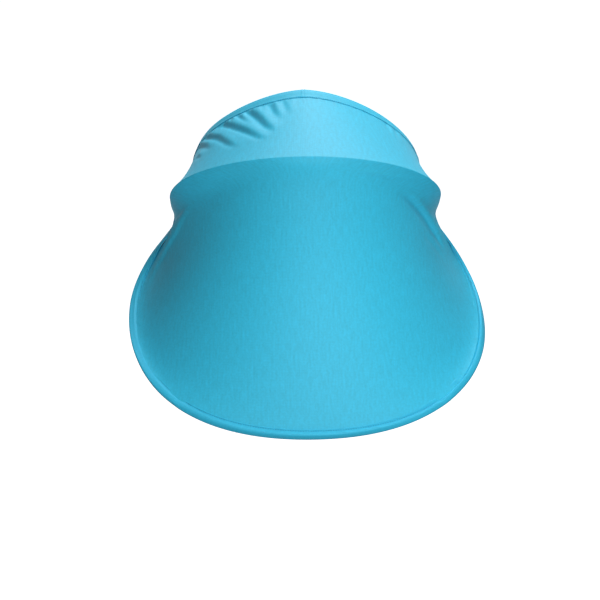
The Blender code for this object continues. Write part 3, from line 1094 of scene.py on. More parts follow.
@dataclass(frozen=True)
class NappedLoops:
    """Brushed nylon loop tape. Its pile of fine loops scatters the light, so it looks soft and dull."""

    name: str = "blue nylon loop tape"
    colour: str = "#2A93C2"
    shades: Pair = (0.7, 1.15)
    tuft_mm: float = 1.1
    roughness: float = 0.95
    sheen: float = 0.5

    def material(self) -> bpy.types.Material:
        """Make the material.

        Returns:
            The material.
        """
        material, shader = new_material(self.name)
        tree = material.node_tree
        place = add_node(tree, "ShaderNodeTexCoord").outputs["Object"]
        tufts = add_node(
            tree, "ShaderNodeTexNoise", {"Scale": per_metre(self.tuft_mm), "Detail": 6.0}, {"Vector": place}
        )
        tint(tree, shader, self.colour, tufts.outputs["Fac"], self.shades)
        bump = add_node(
            tree, "ShaderNodeBump", {"Strength": 1.0, "Distance": 0.3 * MM}, {"Height": tufts.outputs["Fac"]}
        )
        tree.links.new(bump.outputs[0], shader.inputs["Normal"])
        shader.inputs["Roughness"].default_value = self.roughness
        shader.inputs["Sheen Weight"].default_value = self.sheen
        return material


@dataclass(frozen=True)
class SpunThread:
    """Spun polyester sewing thread, dyed a little darker than the cloth. Its plies show as a fine twist."""

    name: str = "blue sewing thread"
    colour: str = "#2496C2"
    shades: Pair = (0.8, 1.15)
    ply_mm: float = 0.5
    roughness: float = 0.7

    def material(self) -> bpy.types.Material:
        """Make the material.

        Returns:
            The material.
        """
        material, shader = new_material(self.name)
        tree = material.node_tree
        place = add_node(tree, "ShaderNodeTexCoord").outputs["Object"]
        plies = add_node(tree, "ShaderNodeTexNoise", {"Scale": per_metre(self.ply_mm)}, {"Vector": place})
        tint(tree, shader, self.colour, plies.outputs["Fac"], self.shades)
        shader.inputs["Roughness"].default_value = self.roughness
        return material


@dataclass(frozen=True)
class DrawnSteel:
    """Steel wire or tube, drawn through a die. Fine scratches run along it and break up its shine."""

    name: str
    colour: str
    roughness: float
    shades: Pair = (0.85, 1.1)
    scratch_mm: float = 0.4
    shine_range: Pair = (-0.08, 0.12)

    def material(self) -> bpy.types.Material:
        """Make the material.

        Returns:
            The material.
        """
        material, shader = new_material(self.name)
        tree = material.node_tree
        place = add_node(tree, "ShaderNodeTexCoord").outputs["Object"]
        scratches = add_node(
            tree,
            "ShaderNodeTexNoise",
            {"Scale": per_metre(self.scratch_mm), "Detail": 4.0},
            {"Vector": place},
        )
        tint(tree, shader, self.colour, scratches.outputs["Fac"], self.shades)
        smoother, rougher = (self.roughness + change for change in self.shine_range)
        rough = add_node(
            tree,
            "ShaderNodeMapRange",
            {"To Min": smoother, "To Max": rougher},
            {"Value": scratches.outputs["Fac"]},
        )
        tree.links.new(rough.outputs[0], shader.inputs["Roughness"])
        shader.inputs["Metallic"].default_value = 1.0
        return material


# The cloth


def waves(along: Points, lengths_mm: tuple[float, ...], seed: int) -> Points:
    """Make an uneven wave along a seam.

    Args:
        along: Distances along the seam.
        lengths_mm: The lengths of the waves that it is made of.
        seed: What their starts are drawn from.

    Returns:
        The wave's height at each distance, from -1 to 1.
    """
    draw = random.Random(seed)
    made = sum(np.sin(2 * math.pi * (along / (mm * MM) + draw.random())) for mm in lengths_mm)
    return made / len(lengths_mm)


@dataclass(frozen=True)
class ShadeCloth:
    """The cloth: one stretched sheet from the hem, over the ridge and the hoop's back, to the brim's front.

    Its rows run across: first the band's, from the hem to the ridge, then the shoulder's, from the ridge to
    the hoop's back, then the brim's. The columns crowd together where the gathers are. The band is drawn in
    at its waist. The brim lies over the channel at its back, is tucked into the channel's ends, sags in a
    trough beside the rim and curls down close to it. The smoothing passes round off the ridge and shoulder.
    """

    form: ShadeForm
    thickness: float = 1.0 * MM
    columns: int = 251
    band_rows: int = 80
    shoulder_rows: int = 14
    brim_rows: int = 92
    band_crowding: float = 1.5
    shoulder_crowding: float = 1.4
    crowd_middle: float = -0.42
    crowding: float = 0.36
    waist: float = 10 * MM
    waist_skew: float = 0.7
    waist_start: float = 0.22
    hem_inset: float = 4.4 * MM
    slot_inset: float = 2.6 * MM
    front_share: float = 0.14
    channel_lift: float = 4.0 * MM
    lift_reach: float = 42 * MM
    tuck_length: float = 15 * MM
    tuck_width: float = 12 * MM
    trough_depth: float = 4 * MM
    trough_width: float = 45 * MM
    trough_fade: float = 0.3
    curl_depth: float = 1.6 * MM
    curl_width: float = 16 * MM
    pucker: float = 0.35 * MM
    pucker_width: float = 9 * MM
    hem_puckers_mm: tuple[float, ...] = (8, 12.5, 19)
    rim_puckers_mm: tuple[float, ...] = (11, 17, 29)
    casing_cover: float = 8.5 * MM
    cover_fade: float = 7.2 * MM
    ridge_fade: float = 0.12
    shoulder_fade: float = 0.4
    ridge_passes: int = 3
    ridge_reach: int = 12
    shoulder_passes: int = 24
    shoulder_start: int = 5
    shoulder_reach: int = 14
    normal_passes: int = 12
    flat_size: tuple[float, float] = (0.47, 0.50)
    flat_area: float = 0.165
    gathers: tuple[Fold, ...] = GATHERS
    creases: tuple[Fold, ...] = CREASES

    @cached_property
    def shares(self) -> Points:
        """The columns' shares across the band, -1 to 1, closer together where the gathers are."""
        even = np.linspace(0, 1, self.columns)
        phase = 2 * math.pi * (even + 0.5 - (1 + self.crowd_middle) / 2)
        shift = self.crowding * (np.sin(phase) - math.sin(phase[0])) / (2 * math.pi)
        return 2 * (even + shift) - 1

    @cached_property
    def half_length(self) -> float:
        """Half the ridge's length."""
        return float(distances(self.form.ridge_points(np.linspace(0, 1, CURVE_STEPS)))[-1])

    def band(self) -> Points:
        """Lay the band, with its gathers and the small puckers of the hem's seam.

        Returns:
            The rows from the hem's edge to just behind the ridge.
        """
        shares = self.shares
        ridge, hem = self.form.ridge_points(shares), self.form.hem_points(shares)
        to_hem = unit(hem - ridge)
        edge = hem - to_hem * self.hem_inset
        back = np.linspace(1, 0, self.band_rows + 1)[:-1, None] ** self.band_crowding
        rows = ridge + (edge - ridge) * back[..., None]
        drawn_in = np.sin(math.pi * back**self.waist_skew) * ease((1 - back) / self.waist_start)
        rows[..., 0] -= self.waist * drawn_in * shares * np.abs(shares)
        outward = unit(np.cross(directions(ridge), to_hem))
        from_hem = (1 - back) * np.linalg.norm(edge - ridge, axis=1)
        across = np.broadcast_to(shares * self.half_length, from_hem.shape)
        from_casing = np.clip(from_hem - self.casing_cover, 0, None)
        gathers = lifted(self.gathers, np.stack([across, from_hem], axis=-1))
        gathers *= ease(back / self.ridge_fade) * ease(from_casing / self.cover_fade)
        puckers = self.hollow(from_casing * 2 / self.pucker_width)
        puckers = puckers * waves(across, self.hem_puckers_mm, seed=11)
        return rows + outward * (gathers + self.pucker * puckers)[..., None]

    def inset_plan(self, plan: Points, inset: Points) -> Points:
        """Move places on the hoop inwards over the vault.

        Args:
            plan: The places, as (x, distance down from the ridge).
            inset: How far each moves.

        Returns:
            The moved places.
        """
        line = self.form.line_on_hoop(plan)
        steps = np.stack(self.form.vault_steps(plan), axis=-1)
        moves = np.linalg.pinv(steps) @ (-line.outs * inset[:, None])[..., None]
        return plan + moves[..., 0]

    def brim_plan(self) -> tuple[Points, Points, Points]:
        """Spread the brim's rows between the hoop's rear arc, its sides and its front.

        Returns:
            The grid in plan, each place's distance from the rear arc, and its distance from the nearest side.
        """
        form, corner = self.form, self.form.corner_share
        rear = form.mirrored(form.hoop_plan(np.linspace(0, corner, CURVE_STEPS)), self.shares)
        v = np.linspace(0, 1, self.brim_rows)
        right = form.hoop_plan(corner + (0.5 - self.front_share - corner) * v)
        side_length = distances(form.on_vault(right))[-1]
        from_corner = v * side_length
        right = self.inset_plan(right, self.slot_inset * ease(from_corner / self.tuck_length))
        front = form.hoop_plan(0.5 - self.front_share * self.shares)
        front = self.inset_plan(front, np.full(len(front), self.slot_inset))
        left, front[-1], front[0] = right * (-1, 1), right[-1], right[-1] * (-1, 1)
        u, v = ((self.shares + 1) / 2)[None, :, None], v[:, None, None]
        ends = (1 - v) * ((1 - u) * rear[0] + u * rear[-1]) + v * ((1 - u) * front[0] + u * front[-1])
        plan = (1 - v) * rear + v * front + (1 - u) * left[:, None] + u * right[:, None] - ends
        from_side = self.edge_distance(form.on_vault(plan))
        return plan, np.broadcast_to(from_corner[:, None], plan.shape[:2]), from_side

    @staticmethod
    def edge_distance(places: Points) -> Points:
        """Measure how far the places lie from the cloth's sides.

        Args:
            places: The grid of places.

        Returns:
            Each one's distance along its row from the row's nearer end.
        """
        steps = np.linalg.norm(np.diff(places, axis=1), axis=-1)
        from_left = np.concatenate([np.zeros((len(places), 1)), np.cumsum(steps, axis=1)], axis=1)
        return np.minimum(from_left, from_left[:, -1:] - from_left)

    def brim(self) -> tuple[Points, Points]:
        """Lay the brim on its vault, with its hollows and the puckers of its rim's seam.

        Returns:
            The brim's rows of places, and their places in plan.
        """
        plan, from_rear, from_side = self.brim_plan()
        normals = self.form.vault_normals(plan)
        tucked = (1 - ease(from_side / self.tuck_width)) * ease(from_rear / self.tuck_length)
        lift = self.channel_lift * np.exp(-((from_rear / self.lift_reach) ** 2)) * (1 - tucked)
        along = from_rear / from_rear.max()
        reach = ease(along / self.trough_fade) * ease((1 - along) / self.trough_fade)
        trough = self.hollow(from_side / self.trough_width) * self.trough_depth
        trough = trough + self.hollow(from_side / self.curl_width) * self.curl_depth
        near = np.exp(-((from_side / self.pucker_width) ** 2)) * ease(from_side / self.pucker_width * 2)
        puckers = self.pucker * near * waves(from_rear, self.rim_puckers_mm, seed=5)
        lift = lift - trough * reach + puckers
        return self.form.on_vault(plan) + normals * lift[..., None], plan

    @staticmethod
    def hollow(distance: Points) -> Points:
        """Return a hollow beside an edge, which is deepest, at 1, at a distance of 1."""
        return distance * np.exp(1 - distance)

    def shoulder(self, over_hoop: Points) -> tuple[Points, Points]:
        """Lay the shoulder between the ridge and the hoop's back.

        Args:
            over_hoop: The cloth's row over the hoop's back.

        Returns:
            The shoulder's rows, and how far each of their places is from the row over the hoop.
        """
        ridge = self.form.ridge_points(self.shares)
        t = np.linspace(0, 1, self.shoulder_rows + 1)[:-1, None, None] ** self.shoulder_crowding
        behind = np.linalg.norm(over_hoop - ridge, axis=1) * (1 - t[..., 0])
        return ridge + (over_hoop - ridge) * t, behind

    @cached_property
    def places(self) -> Points:
        """The whole grid of places, from the hem to the brim's front."""
        brim, plan = self.brim()
        shoulder, behind = self.shoulder(brim[0])
        rows = np.concatenate([self.band(), shoulder, brim])
        ridge, hoop = self.band_rows, self.band_rows + self.shoulder_rows
        rows = smoothed(rows, self.shoulder_passes, ridge + self.shoulder_start, hoop + self.shoulder_reach)
        rows = smoothed(rows, self.ridge_passes, ridge - self.ridge_reach, hoop)
        cloth = np.concatenate([plan[0] - behind[..., None] * (0, 1), plan])
        lift = lifted(self.creases, cloth)
        fade = ease(np.linspace(0, 1 / self.shoulder_fade, self.shoulder_rows))
        lift[: self.shoulder_rows] *= fade[:, None]
        rows[ridge:] += self.grid_normals(rows)[ridge:] * lift[..., None]
        return rows

    @staticmethod
    def grid_normals(rows: Points) -> Points:
        """Return a grid's upward normals."""
        return unit(np.cross(np.gradient(rows, axis=0), np.gradient(rows, axis=1)))

    def rim_normals(self) -> tuple[Points, Points]:
        """Find which way the cloth faces round the brim's rim.

        Returns:
            Places round the rim, as shares of the hoop, and the cloth's upward normal at each.
        """
        rows, corner = self.places[self.band_rows + self.shoulder_rows :], self.form.corner_share
        side = corner + (0.5 - self.front_share - corner) * np.linspace(0, 1, self.brim_rows)
        front = 0.5 - self.front_share * self.shares[::-1]
        edge = np.concatenate([rows[:, -1], rows[-1, -2:0:-1], rows[::-1, 0]])
        inner = np.concatenate([rows[:, -4], rows[-3, -2:0:-1], rows[::-1, 3]])
        normals = unit(np.cross(edge - inner, directions(edge)))
        normals *= np.sign(normals[:, 2:])
        for _ in range(self.normal_passes):
            normals[1:-1] = (normals[:-2] + 2 * normals[1:-1] + normals[2:]) / 4
        return np.concatenate([side, front[1:-1], 1 - side[::-1]]), unit(normals)

    def marks(self) -> Points:
        """Lay the cloth flat.

        Returns:
            Where each of its places lies on the flat cloth, across and down it.
        """
        _, plan = self.brim()
        share = np.clip(plan[..., 1] / self.form.brim_length, 0, 1)
        aside = plan[..., 0] * ((1 - share) * self.form.rear_curvature + share / self.form.front_radius)
        across = plan[..., 0] * (1 + aside**2 / 6)
        behind = self.places[: self.band_rows + self.shoulder_rows + 1]
        steps = np.linalg.norm(np.diff(behind[::-1], axis=0), axis=-1)
        back = plan[0, :, 1] - np.cumsum(steps, axis=0)[::-1]
        sides = np.broadcast_to(across[0], back.shape)
        return np.stack([np.concatenate([sides, across]), np.concatenate([back, plan[..., 1]])], axis=-1)

    def build(self) -> bpy.types.Object:
        """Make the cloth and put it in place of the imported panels.

        Returns:
            The cloth.
        """
        cloth = grid_piece("shade_cloth", self.places, self.marks())
        thicken(cloth, self.thickness)
        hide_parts("sleeve_panel", "brim_panel")
        return cloth


# Tapes

SLOT_MARGIN = 1.05


@dataclass(frozen=True)
class FoldedTape:
    """A strip folded round an edge: a tunnel, and two lips that are sewn together through the cloth.

    The seam pulls a groove into each lip, and the stitches lie in it at a share of its depth.
    """

    reach_out: float
    reach_in: float
    crown: float
    lip: float
    wall: float = 0.7 * MM
    slot: float = 0.62 * MM
    squareness: float = 1.0
    tunnel_in: float = 3.4 * MM
    seam_in: float = 5.0 * MM
    seam_dip: float = 0.35 * MM
    groove: float = 0.7 * MM
    stitch_sink: float = 0.55
    lip_round: float = 0.25
    crown_turn: float = math.radians(100)
    pucker: float = 0.0
    pucker_width: float = 2.2 * MM
    pucker_in: float = 0.6
    pucker_mm: tuple[float, ...] = (9, 14, 23)
    round_points: int = 9
    lip_points: int = 13

    def upper(self) -> Points:
        """Draw the upper half of the profile's outside.

        Returns:
            Its points, from the outermost one to the lip's end.
        """
        turns = np.linspace(0, self.crown_turn, self.round_points)
        rise = self.crown * np.sin(turns) ** self.squareness
        crown = np.stack([self.reach_out * np.cos(turns), rise], axis=1)
        start, height = crown[-1]
        out = np.linspace(start, -self.reach_in, self.lip_points + 1)[1:]
        down = ease((start - out) / (self.tunnel_in + start))
        up = height + (self.lip - height) * down
        up = up - self.seam_dip * np.exp(-(((out + self.seam_in) / self.groove) ** 2))
        end = [[-self.reach_in - self.lip_round * self.wall, (self.lip + self.slot) / 2]]
        return np.concatenate([crown, np.stack([out, up], axis=1), end])

    def inside(self) -> Points:
        """Draw the upper half of the profile's inside.

        Returns:
            Its points, from the lip's end to the tunnel's outer wall.
        """
        depth, height = self.reach_out - self.wall, self.crown - self.wall
        turns = np.linspace(math.pi - math.asin(self.slot / height), 0, self.round_points)
        reach = np.where(np.cos(turns) > 0, depth, min(depth, self.tunnel_in))
        bore = np.stack([reach * np.cos(turns), height * np.sin(turns)], axis=1)
        return np.concatenate([[[-self.reach_in, self.slot]], bore])

    def profile(self) -> Points:
        """Draw the whole profile.

        Returns:
            Its points, which start and end at the outermost one inside the tunnel.
        """
        upper, inside = self.upper(), self.inside()
        outside = np.concatenate([(upper * (1, -1))[::-1], upper[1:]])
        inner = np.concatenate([inside, (inside * (1, -1))[::-1][1:]])
        closed = np.concatenate([outside, inner])
        return np.concatenate([closed, closed[:1]])

    def faces(self, profile: Points) -> Points:
        """Return 1 on the upper side of a profile, -1 on its lower side and 0 in its slot."""
        return np.sign(profile[..., 1]) * (np.abs(profile[..., 1]) > self.slot * SLOT_MARGIN)

    def along(self, line: Line, seed: int) -> Points:
        """Repeat the profile along a line, with the lips drawn up unevenly by their seam.

        Args:
            line: The line.
            seed: What the unevenness is drawn from.

        Returns:
            One profile for each of the line's points.
        """
        profile = self.profile()
        many = np.repeat(profile[None], len(line.points), axis=0)
        wave = self.pucker * waves(distances(line.points), self.pucker_mm, seed)[:, None]
        sewn = np.exp(-(((profile[:, 0] + self.seam_in) / self.pucker_width) ** 2))
        many[..., 1] += wave * sewn * self.faces(profile)
        many[..., 0] += wave * self.pucker_in * (profile[:, 0] < -self.seam_in)
        return many

    def sweep(self, name: str, line: Line, seed: int) -> bpy.types.Object:
        """Make the tape along a line."""
        profile = self.along(line, seed)
        return grid_piece(name, ribbon(line, profile), ribbon_marks(line, profile), wrap=True)

    def seams(self, line: Line) -> list[tuple[Points, Points]]:
        """Find where the tape's seam runs.

        Args:
            line: The line that the tape follows.

        Returns:
            The seam's points on top of the tape and under it, each with their normals.
        """
        height = self.lip - self.seam_dip * self.stitch_sink
        top, under = line.offset(-self.seam_in, height), line.offset(-self.seam_in, -height)
        return [(top, line.ups), (under, -line.ups)]


def even_line(places: Points, ups: Points, outward: Points, stations: int) -> Line:
    """Run a line through places, with evenly spaced points.

    Args:
        places: The places.
        ups: The cloth's normal at each.
        outward: A direction out of the cloth's edge at each.
        stations: How many points the line has.

    Returns:
        The line.
    """
    fractions = np.linspace(0, 1, stations)
    lengths = distances(places)
    where = fractions * lengths[-1]
    mixed = [
        np.stack([np.interp(where, lengths, axis) for axis in values.T], axis=1) for values in (ups, outward)
    ]
    return Line(spaced(places, fractions), *mixed)


@dataclass(frozen=True)
class RearHem:
    """The rear hem: a casing folded from the cloth, its elastic and seam, and the join that closes it."""

    form: ShadeForm
    fold: FoldedTape = FoldedTape(
        reach_out=5.5 * MM,
        reach_in=13.0 * MM,
        crown=2.4 * MM,
        lip=1.25 * MM,
        tunnel_in=10.5 * MM,
        seam_in=12.0 * MM,
        seam_dip=0.45 * MM,
        pucker=0.3 * MM,
        lip_points=22,
    )
    stations: int = 420
    elastic_half_width: float = 3.8 * MM
    elastic_half_thickness: float = 0.6 * MM
    elastic_ribs: int = 9
    rib_points: int = 6
    rib_depth: float = 0.18
    join_share: float = -0.012
    join_width: float = 2.6 * MM
    join_height: float = 0.5 * MM
    join_gap: float = 0.5 * MM
    join_cut: float = 1.3
    join_seam: float = 1.6 * MM
    join_seam_ends: Pair = (-4 * MM, 3 * MM)
    join_seam_round: float = 6 * MM

    @cached_property
    def line(self) -> Line:
        """The casing's line."""
        shares = np.linspace(-1, 1, self.stations)
        rough = self.form.hem_line(shares)
        return even_line(rough.points, rough.ups, rough.outs, self.stations)

    def casing(self) -> bpy.types.Object:
        """Make the casing, thicker where its ends are joined.

        Returns:
            The casing.
        """
        line = self.line
        profile = self.fold.along(line, seed=3)
        from_join = distances(line.points) - line.length * (1 + self.join_share) / 2
        bulge = np.exp(-((from_join / self.join_width) ** 4))
        bulge = bulge - self.join_cut * np.exp(-((from_join / self.join_gap) ** 2))
        profile[..., 1] += self.join_height * bulge[:, None] * self.fold.faces(profile)
        casing = grid_piece("hem_casing_cloth", ribbon(line, profile), ribbon_marks(line, profile), wrap=True)
        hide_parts("hem_casing")
        return casing

    def elastic(self) -> bpy.types.Object:
        """Make the woven elastic inside the casing, with its lengthwise ribs.

        Returns:
            The elastic.
        """
        line, across = self.line, np.linspace(-1, 1, self.elastic_ribs * self.rib_points + 1)
        ribs = 1 - self.rib_depth * (1 + np.cos(math.pi * self.elastic_ribs * (across + 1)))
        top = np.stack([across * self.elastic_half_width, ribs * self.elastic_half_thickness], axis=1)
        closed = np.concatenate([top, (top * (1, -1))[::-1], top[:1]])
        elastic = grid_piece("hem_elastic_band", ribbon(line, closed), ribbon_marks(line, closed), wrap=True)
        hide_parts("hem_elastic")
        return elastic

    def stitches(self, thread: Thread) -> bpy.types.Object:
        """Sew the casing's seam, and the two short rows beside its join.

        Args:
            thread: The thread.

        Returns:
            The stitches.
        """
        line, seams = self.line, self.fold.seams(self.line)
        across = np.linspace(*self.join_seam_ends, 5)[:, None]
        rise = (self.fold.crown + self.join_height / 2) * (1 - (across / self.join_seam_round) ** 2)
        for beside in (-self.join_seam, self.join_seam):
            point = spaced(line.points, [(1 + self.join_share) / 2 + beside / line.length])[0]
            nearest = int(np.argmin(np.linalg.norm(line.points - point, axis=1)))
            up = line.ups[nearest]
            seams.append((point + line.outs[nearest] * across + up * rise, np.tile(up, (len(across), 1))))
        return thread.sew("hem_stitches", seams)


@dataclass(frozen=True)
class BrimRim:
    """The tape round the brim's rim, the channel across its back, and their seams.

    Its tables are rows of (share of the rim from its right end, value). They say how far in the seam and the
    lip's end lie, how far out the edge lies, how much deeper the seam's groove is and how steeply the tape's
    outer face droops. The droop sets in over the knee.
    """

    cloth: ShadeCloth
    tape: FoldedTape = FoldedTape(
        reach_out=5.0 * MM,
        reach_in=6.6 * MM,
        crown=2.8 * MM,
        lip=1.5 * MM,
        wall=0.75 * MM,
        squareness=0.65,
        tunnel_in=3.8 * MM,
        seam_in=4.8 * MM,
        seam_dip=0.42 * MM,
        pucker=0.25 * MM,
        lip_points=17,
    )
    channel: FoldedTape = FoldedTape(
        reach_out=4.4 * MM,
        reach_in=4.6 * MM,
        crown=3.1 * MM,
        lip=1.5 * MM,
        wall=0.75 * MM,
        tunnel_in=2.6 * MM,
        seam_in=3.6 * MM,
        seam_dip=0.3 * MM,
        pucker=0.15 * MM,
    )
    corner_gap: float = 1.0 * MM
    seam_mm: Table = ((0.12, 3.8), (0.2, 3.0), (0.34, 3.2), (0.5, 4.8), (0.7, 5.9))
    reach_mm: Table = ((0.05, 6.6), (0.15, 9.2), (0.25, 9.2), (0.36, 6.6))
    edge_mm: Table = ((0.04, 5.0), (0.12, 6.2), (0.2, 6.0), (0.3, 5.0))
    dip_mm: Table = ((0.1, 0.0), (0.18, 0.4), (0.36, 0.35), (0.46, 0.0))
    groove: float = 0.8 * MM
    droop: Table = (
        (0.02, 0.0), (0.08, 1.0), (0.14, 0.9), (0.24, 0.35), (0.34, 0.35),
        (0.44, 0.9), (0.54, 1.0), (0.62, 0.6), (0.7, 0.0), (0.78, -0.4),
    )
    knee: float = 1.0 * MM
    rim_stations: int = 460
    channel_stations: int = 150

    @property
    def form(self) -> ShadeForm:
        """The shade's form."""
        return self.cloth.form

    @cached_property
    def hoop_length(self) -> float:
        """The hoop's whole length."""
        return self.form.line_on_hoop(self.form.hoop_plan(np.linspace(0, 1, 400))).length

    @cached_property
    def rim_line(self) -> Line:
        """The rim's line, from the right corner round the front to the left one, turned as the cloth is."""
        start = self.form.corner_share + self.corner_gap / 2 / self.hoop_length
        shares = np.linspace(start, 1 - start, self.rim_stations)
        line = self.form.line_on_hoop(self.form.hoop_plan(shares))
        known, normals = self.cloth.rim_normals()
        ups = np.stack([np.interp(shares, known, axis) for axis in normals.T], axis=1)
        return Line(line.points, ups, line.outs)

    @cached_property
    def channel_line(self) -> Line:
        """The line of the hoop's rear arc, from the left corner to the right one."""
        reach = self.form.corner_share - self.corner_gap / 2 / self.hoop_length
        right = self.form.hoop_plan(np.linspace(0, reach, self.channel_stations))
        return self.form.line_on_hoop(np.concatenate([right[::-1] * (-1, 1), right[1:]]))

    def along_rim(self, table: Table) -> Points:
        """Return a table's value at each station of the rim."""
        return np.interp(np.linspace(0, 1, self.rim_stations), *zip(*table))

    def rim_profiles(self) -> Points:
        """Shape the rim tape's profile at each station by the tables.

        Returns:
            One profile for each station.
        """
        tape = self.tape
        profiles = tape.along(self.rim_line, seed=21)
        known = [-tape.reach_in, -tape.seam_in, 0, tape.reach_out]
        tables = (self.reach_mm, self.seam_mm, self.edge_mm, self.dip_mm)
        reaches, seams, edges, dips = (self.along_rim(table) * MM for table in tables)
        for profile, reach, seam, edge in zip(profiles, reaches, seams, edges):
            profile[:, 0] = np.interp(profile[:, 0], known, [-reach, -seam, 0, edge])
        groove = np.exp(-(((profiles[..., 0] + seams[:, None]) / self.groove) ** 2))
        profiles[..., 1] -= dips[:, None] * groove * tape.faces(profiles)
        outer = np.hypot(np.clip(profiles[..., 0], 0, None), self.knee) - self.knee
        profiles[..., 1] -= self.along_rim(self.droop)[:, None] * outer
        return profiles

    def build(self) -> list[bpy.types.Object]:
        """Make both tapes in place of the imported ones.

        Returns:
            The rim's tape and the channel.
        """
        line, profiles = self.rim_line, self.rim_profiles()
        rim = grid_piece("rim_tape", ribbon(line, profiles), ribbon_marks(line, profiles), wrap=True)
        channel = self.channel.sweep("rear_channel_tape", self.channel_line, seed=22)
        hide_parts("rim_binding")
        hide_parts("rear_channel")
        return [rim, channel]

    def stitches(self, thread: Thread) -> bpy.types.Object:
        """Sew the seams of both tapes.

        Args:
            thread: The thread.

        Returns:
            The stitches.
        """
        line, tape = self.rim_line, self.tape
        dip = tape.seam_dip + self.along_rim(self.dip_mm)[:, None] * MM
        inward, height = -self.along_rim(self.seam_mm)[:, None] * MM, tape.lip - dip * tape.stitch_sink
        top, under = (line.offset(inward, height), line.ups), (line.offset(inward, -height), -line.ups)
        return thread.sew("brim_stitches", [top, under] + self.channel.seams(self.channel_line)[1:])


@dataclass(frozen=True)
class SideTape:
    """The narrow tape that binds one lower edge of the sleeve."""

    cloth: ShadeCloth
    side: Side
    tape: FoldedTape = FoldedTape(
        reach_out=1.9 * MM,
        reach_in=4.2 * MM,
        crown=1.35 * MM,
        lip=1.15 * MM,
        wall=0.5 * MM,
        slot=0.58 * MM,
        tunnel_in=1.6 * MM,
        seam_in=3.2 * MM,
        seam_dip=0.2 * MM,
        pucker=0.12 * MM,
        round_points=7,
    )
    inset: float = 1.0 * MM
    hem_clear: float = 6.0 * MM
    hoop_clear: float = 9.0 * MM
    stations: int = 110

    @cached_property
    def line(self) -> Line:
        """The tape's line along the cloth's edge, between the casing and the hoop."""
        rows = self.cloth.places[: self.cloth.band_rows + self.cloth.shoulder_rows + 1]
        edge, inner = (rows[:, 0], rows[:, 2]) if self.side is Side.LEFT else (rows[:, -1], rows[:, -3])
        whole = distances(edge)[-1]
        kept = np.linspace(self.hem_clear / whole, 1 - self.hoop_clear / whole, self.stations)
        edge, inner = spaced(edge, kept), spaced(inner, kept)
        outward = edge - inner
        ups = np.cross(directions(edge), outward) * -self.side.value
        line = Line(edge, ups, outward)
        return Line(line.offset(-self.inset, 0), line.ups, outward)

    def build(self) -> bpy.types.Object:
        """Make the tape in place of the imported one.

        Returns:
            The tape.
        """
        tape = self.tape.sweep(f"{self.side.word}_side_tape", self.line, seed=31 + self.side.value)
        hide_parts(f"{self.side.word}_side_binding")
        return tape

    def stitches(self, thread: Thread) -> bpy.types.Object:
        """Sew the tape's seam."""
        return thread.sew(f"{self.side.word}_side_stitches", self.tape.seams(self.line))


# Straps


@dataclass(frozen=True)
class Strip:
    """A flat strip with rounded corners, in its strap's own axes. Its cords are ridges that run along it."""

    top: float
    length: float
    width: float
    back: float
    front: float
    cords: float = 0.0
    rows: int = 90

    def outline(self, x: float, inside: float) -> Points:
        """Return the closed line at x that lies this far inside the strip's edge."""
        y, low, high = self.width / 2 - inside, self.top - self.length + inside, self.top - inside
        return np.array([(x, -y, high), (x, y, high), (x, y, low), (x, -y, low), (x, -y, high)])


